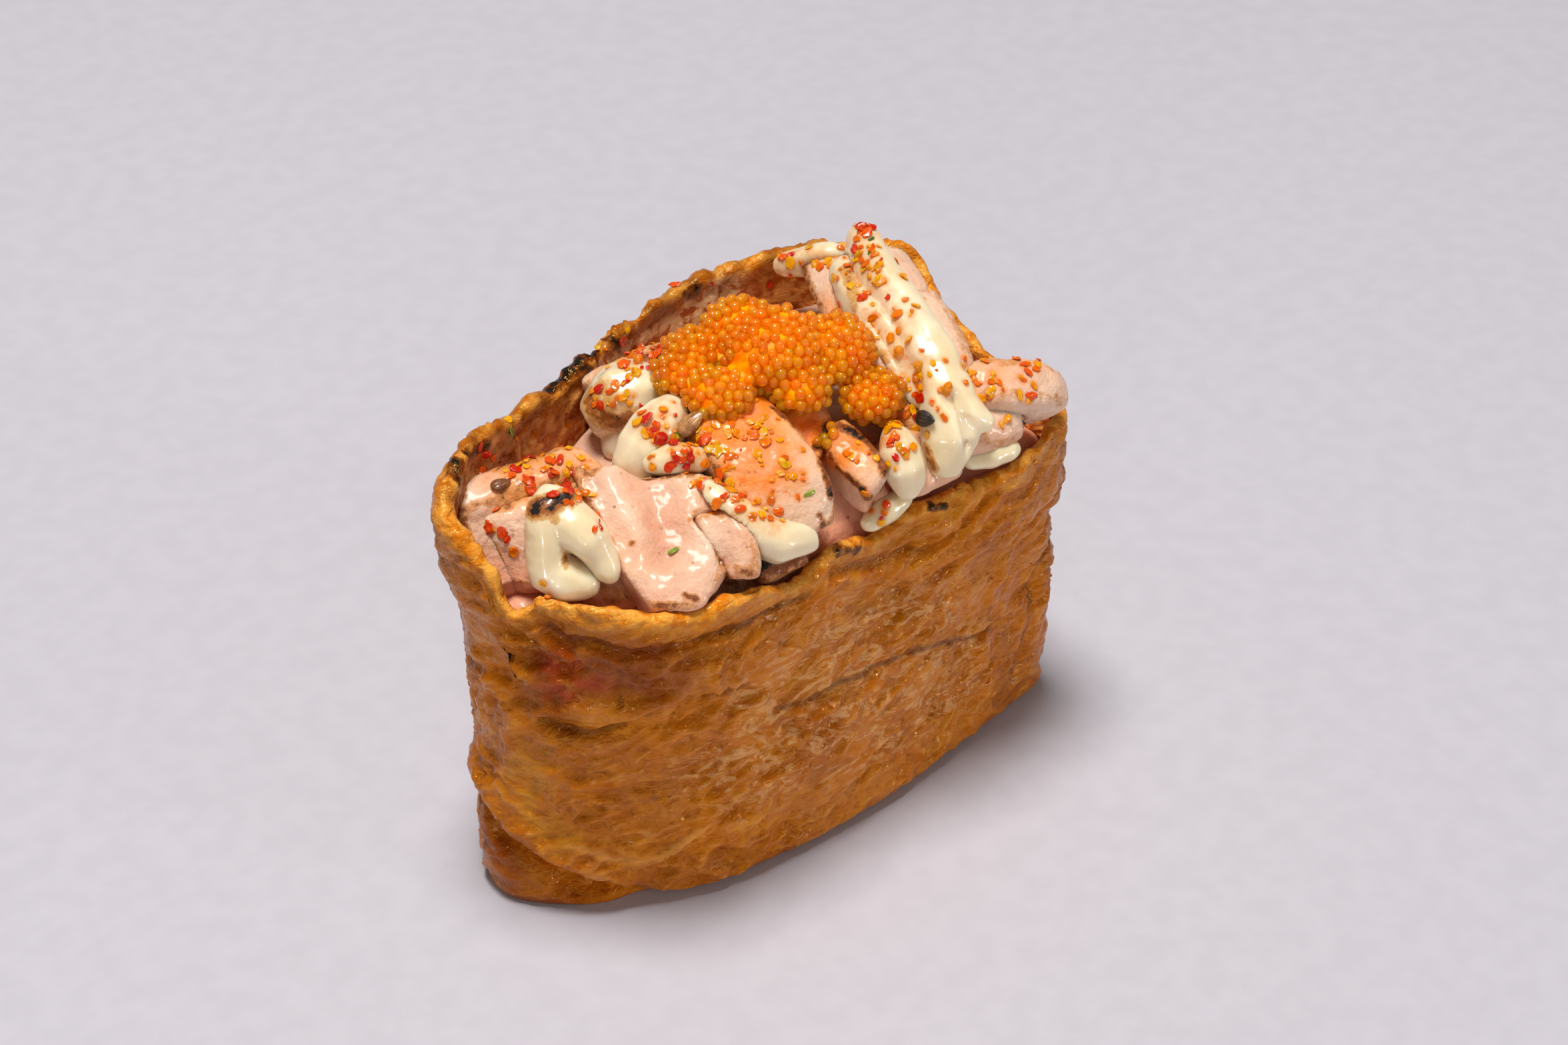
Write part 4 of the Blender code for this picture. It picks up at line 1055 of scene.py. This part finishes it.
# Where each kind fell: middle, spread and how many. Herbs are a place and a length.
CHILLI = (
    ((-9.2, -4.2, 45.4), 2.0, 10), ((-9.0, -8.5, 43.6), 2.2, 6), ((-8.7, -11.7, 43.0), 1.8, 3),
    ((-9.9, -1.4, 46.4), 1.6, 5), ((-9.8, -5.6, 44.6), 1.2, 7), ((-9.5, 5.5, 46.0), 2.0, 4),
    ((-4.1, 8.3, 46.0), 3.4, 26), ((-20.5, 3.6, 43.2), 3.4, 12), ((-17.0, 2.4, 43.4), 2.2, 8),
    ((-20.4, -3.0, 43.6), 2.0, 6), ((-20.6, -7.0, 43.4), 0.9, 3), ((-25.0, 2.8, 38.0), 2.2, 4),
    ((14.0, -12.2, 46.6), 1.8, 2), ((16.0, -0.4, 49.0), 2.4, 4), ((19.2, 5.5, 51.4), 1.0, 6),
    ((9.8, -11.0, 44.0), 1.8, 14), ((7.6, -13.4, 43.0), 1.0, 5), ((22.6, -13.4, 43.0), 3.4, 4),
    ((5.4, -14.6, 37.0), 1.0, 3), ((16.0, 11.0, 46.8), 1.6, 5), ((-2.0, 8.0, 46.6), 3.0, 10),
    ((2.0, 0.0, 49.0), 5.0, 4), ((-24.0, 6.2, 45.6), 2.0, 4), ((-4.0, -1.5, 47.0), 2.5, 9),
    ((20.0, 4.0, 47.0), 3.0, 4), ((0.0, 12.0, 45.0), 6.0, 6), ((4.0, -15.0, 30.0), 3.0, 2),
)
SPICE = (
    ((-8.6, -4.4, 45.2), 3.0, 40), ((-8.0, -9.5, 43.4), 2.4, 26), ((-7.4, -12.7, 42.4), 1.8, 14),
    ((-9.9, -1.4, 46.4), 2.0, 14), ((-9.5, 5.5, 46.0), 2.2, 14), ((-4.1, 8.3, 46.0), 3.6, 40),
    ((-20.5, 3.6, 43.2), 3.2, 24), ((-19.4, -2.6, 43.6), 1.8, 9), ((-23.6, 1.6, 36.0), 2.0, 5),
    ((-3.6, -7.0, 45.6), 3.0, 34), ((-2.4, -11.4, 43.6), 2.2, 12), ((14.0, -10.9, 46.9), 1.8, 16),
    ((13.2, -13.6, 45.2), 1.6, 10), ((17.0, 1.0, 50.2), 2.4, 26), ((15.6, -4.0, 48.8), 2.4, 18),
    ((12.0, -8.0, 46.0), 2.4, 16), ((9.8, -11.0, 44.0), 1.8, 16), ((7.6, -14.4, 42.4), 1.4, 12),
    ((22.6, -13.6, 42.4), 4.2, 26), ((19.4, -11.6, 44.0), 1.6, 12), ((5.4, -14.6, 37.0), 1.2, 5),
    ((18.4, 4.5, 50.6), 1.8, 12), ((15.0, 9.4, 47.2), 2.6, 16), ((-26.0, -7.0, 38.6), 1.4, 2),
    ((3.0, 8.0, 47.0), 4.0, 10), ((20.0, 6.0, 48.0), 3.0, 12), ((4.6, -12.6, 42.6), 1.4, 5),
)
HERBS = (
    (-1.9, -13.4, 42.1, 1.3), (11.4, -5.2, 49.1, 1.0), (-15.2, -10.8, 40.9, 1.1),
    (-19.0, 8.7, 43.8, 1.2), (-8.2, -2.4, 45.1, 0.9), (18.1, 2.5, 51.2, 0.5), (15.0, 10.0, 46.0, 0.8),
    (19.6, 4.0, 51.0, 0.5), (10.0, -4.0, 48.0, 0.7),
)
# They came down a little aslant, each no further than REACH from where it was meant to land.
AIM = Vector((0.32, 0.42, -0.85)).normalized()
ABOVE, REACH = 0.03, 0.006


def settled(places, pieces):
    """Where each place comes down on the food along the fall, with the surface there."""
    found = []
    for p in places:
        start = (Vector(p) * MM) - AIM * ABOVE
        best = None
        for piece in pieces:
            hit, spot, normal, _ = piece.ray_cast(start, AIM)
            if hit and (best is None or (spot - start).length < best[0]):
                best = ((spot - start).length, spot / MM, normal.normalized(), piece)
        if best and abs(best[0] - ABOVE) < REACH:
            found.append(best[1:])
    return found


def scattered(zones, pieces, random):
    places = []
    for middle, spread, count in zones:
        places += (np.array(middle) + random.normal(0, spread * 0.6, (count, 3))).tolist()
    return settled(places, pieces)


def lying(normal, random, tilt):
    """The turn that lays a chip flat on a surface, spun at random and a little tilted."""
    flat = normal.to_track_quat("Z", "Y")
    spin = Quaternion((0, 0, 1), random.random() * 6.28)
    lean = Quaternion((1, 0, 0), random.normal(0, tilt))
    return tuple((flat @ spin @ lean).to_euler())


def chip_finish(name, dull, bright, see_through):
    finish, tree, surface = new_finish(name, {
        "Roughness": 0.3, "Transmission Weight": see_through, "Subsurface Weight": 0.5,
        "Subsurface Radius": (1.0, 0.3, 0.1), "Subsurface Scale": 0.3 * MM, "Specular IOR Level": 0.2,
        "Coat Weight": 0.25, "Coat Roughness": 0.12})
    plain = turned(tree)
    tone = unevenly(tree, mark(tree, "tone"), plain, 0.4, 2.0)
    wire(tree, surface.inputs["Base Color"], painted(tree, dull, (stepped(tree, tone, 0.1, 0.9), bright)))
    wire(tree, surface.inputs["Normal"], raised(tree, speckle(tree, plain, 0.3, 2.0), 0.04))
    return finish


bpy.context.view_layer.update()
ground = dressed + [pocket]
random = np.random.default_rng(21)


def chips(name, zones, size, thin, ragged, finish):
    """One mesh of flat ragged chips of about that size and thinness, and where they lie."""
    spots = scattered(zones, ground, random)
    turns = [lying(normal, random, 0.25) for _, normal, _ in spots]
    sizes = np.exp(np.clip(random.normal(0, 0.42, (len(spots), 1)), -0.7, 0.5)) * np.array([1.0, 0.75, thin])
    sizes = sizes * (1 + random.normal(0, 0.12, (len(spots), 3)))
    places = [tuple(spot + normal * (0.07 + size * thin * 0.4)) for spot, normal, _ in spots]
    tones = random.random(len(places))
    return strewn(name, places, turns, sizes, tones, finish, size, ragged, False), places


chilli, _ = chips("chilli_flakes", CHILLI, 0.85, 0.2, 0.5,
                  chip_finish("chilli", shade(206, 28, 0), shade(244, 96, 0), 0.25))
spice, grains = chips("spice_grains", SPICE, 0.72, 0.17, 0.42,
                      chip_finish("spice", shade(242, 108, 0), shade(255, 176, 0), 0.25))

herb_spots = settled([h[:3] for h in HERBS], ground)
herb_green = chip_finish("herb", shade(60, 96, 30), shade(150, 176, 60), 0.2)
strewn("herb_bits", [tuple(s + n * 0.1) for s, n, _ in herb_spots],
       [lying(n, random, 0.3) for _, n, _ in herb_spots],
       [(h[3], h[3] * 0.45, 0.25) for h in HERBS][:len(herb_spots)],
       random.random(len(herb_spots)), herb_green, 1.0, 0.35, False)

# Orange colour bleeds from the grains into what they lie on, as far as BLEED.
BLEED = 1.1
bled = KDTree(len(grains))
for i, p in enumerate(grains):
    bled.insert(p, i)
bled.balance()
for piece in dressed:
    halo = [1 - min(bled.find(p)[2] / BLEED, 1.0) for p in points_of(piece).tolist()]
    marked(piece, "halo", eased(np.array(halo)))

# Sesame seeds: a drop shape, flatter underneath, with a fine ridged skin. Each is a place, a
# length, how far it is spun, and how brown it is, 0 being black.
SESAME = (
    ((12.1, -13.4, 43.8), 2.6, 0.4, 0.1), ((-6.8, -2.8, 45.8), 3.2, 1.5, 1.0),
    ((-23.7, 3.5, 42.9), 2.0, 0.2, 0.65),
)


def sesame_finish():
    finish, tree, surface = new_finish("sesame_skin", {
        "Roughness": 0.35, "Coat Weight": 0.4, "Coat Roughness": 0.15})
    plain = turned(tree)
    tone = unevenly(tree, mark(tree, "tone"), plain, 0.8, 3.0)
    husk = painted(
        tree, shade(30, 24, 18),
        (stepped(tree, tone, 0.3, 0.6), shade(122, 70, 34)),
        (stepped(tree, tone, 0.8, 1.1), shade(184, 130, 72)))
    wire(tree, surface.inputs["Base Color"], husk)
    wire(tree, surface.inputs["Normal"], raised(tree, web(tree, plain, 0.4, 0.2), 0.05))
    return finish


bodies = bmesh.new()
tones = []
for middle, long, spin, tone in SESAME:
    (spot, normal, _), = settled([middle], ground)
    made = bmesh.ops.create_icosphere(bodies, subdivisions=4, radius=0.5 * long)["verts"]
    lay = normal.to_track_quat("Z", "Y") @ Quaternion((0, 0, 1), spin)
    for vert in made:
        x, y, z = vert.co / (0.5 * long)
        taper = 1 - 0.38 * x - 0.1 * x * x
        vert.co = 0.5 * long * Vector((x, 0.58 * y * taper, 0.34 * z * taper * (1 + 0.1 * math.cos(9 * y))))
        vert.co = (lay @ vert.co + spot + normal * 0.14 * long) * MM
        tones.append(tone)
mesh = bpy.data.meshes.new("sesame_seeds")
bodies.to_mesh(mesh)
bodies.free()
mesh.shade_smooth()
sesame = laid_out("sesame_seeds", mesh)
marked(sesame, "tone", np.array(tones))
mesh.materials.append(sesame_finish())
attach(sesame, "root")

# --- Floor, lights and camera ------------------------------------------------------------
# Not part of the food: a plain pale table top, a broad soft lamp overhead, a fill from the front
# that nothing mirrors, and two small low lamps for the wet glints.

TABLE = 900
corners = [(x * TABLE, y * TABLE, 0) for x, y in ((-1, -1), (1, -1), (1, 1), (-1, 1))]
floor = mesh_piece("table_top", corners, [(0, 1, 2, 3)])
table, tree, surface = new_finish("pale_table", {"Roughness": 0.75})
paper = stepped(tree, speckle(tree, turned(tree), 3.0, 3.0), 0.3, 0.7)
wire(tree, surface.inputs["Base Color"], painted(tree, shade(184, 182, 191), (paper, shade(188, 186, 195))))
floor.data.materials.append(table)

# Place in metres, width, watts, and whether wet skins mirror it.
LAMPS = (
    ("overhead", (-0.06, 0.04, 0.80), 0.26, 7.5, True),
    ("front", (-0.50, -0.80, 0.45), 0.5, 0.9, False),
    ("low_glint", (0.44, -0.74, 0.13), 0.10, 1.3, True),
    ("left_glint", (-0.64, -0.50, 0.15), 0.10, 0.7, True),
)
for name, place, width, power, mirrored in LAMPS:
    lamp = bpy.data.lights.new(name, "AREA")
    lamp.shape = "DISK"
    lamp.size = width
    lamp.energy = power
    lamp.color = (1.0, 0.97, 0.94)
    hung = laid_out(name, lamp)
    hung.location = place
    hung.rotation_euler = (Vector((0, 0, 0.03)) - Vector(place)).to_track_quat("-Z", "Y").to_euler()
    hung.visible_glossy = mirrored

sky = bpy.data.worlds.new("room")
sky.use_nodes = True
glow = sky.node_tree.nodes["Background"].inputs
glow["Color"].default_value = (1.0, 0.95, 0.88, 1.0)
glow["Strength"].default_value = 0.16
bpy.context.scene.world = sky
bpy.context.scene.view_settings.view_transform = "Standard"

lens = bpy.data.cameras.new("camera")
lens.lens = 73.53
lens.sensor_width = 36.0
lens.clip_start = 0.01
camera = laid_out("camera", lens)
ahead = Vector((0.48581, 0.60342, -0.63236))
right = Vector((0.78184, -0.62346, 0.00572))
sides = Matrix((right, right.cross(ahead).normalized(), -ahead)).transposed()
camera.matrix_world = Matrix.Translation((-0.144565, -0.187056, 0.222271)) @ sides.to_4x4()
bpy.context.scene.camera = camera
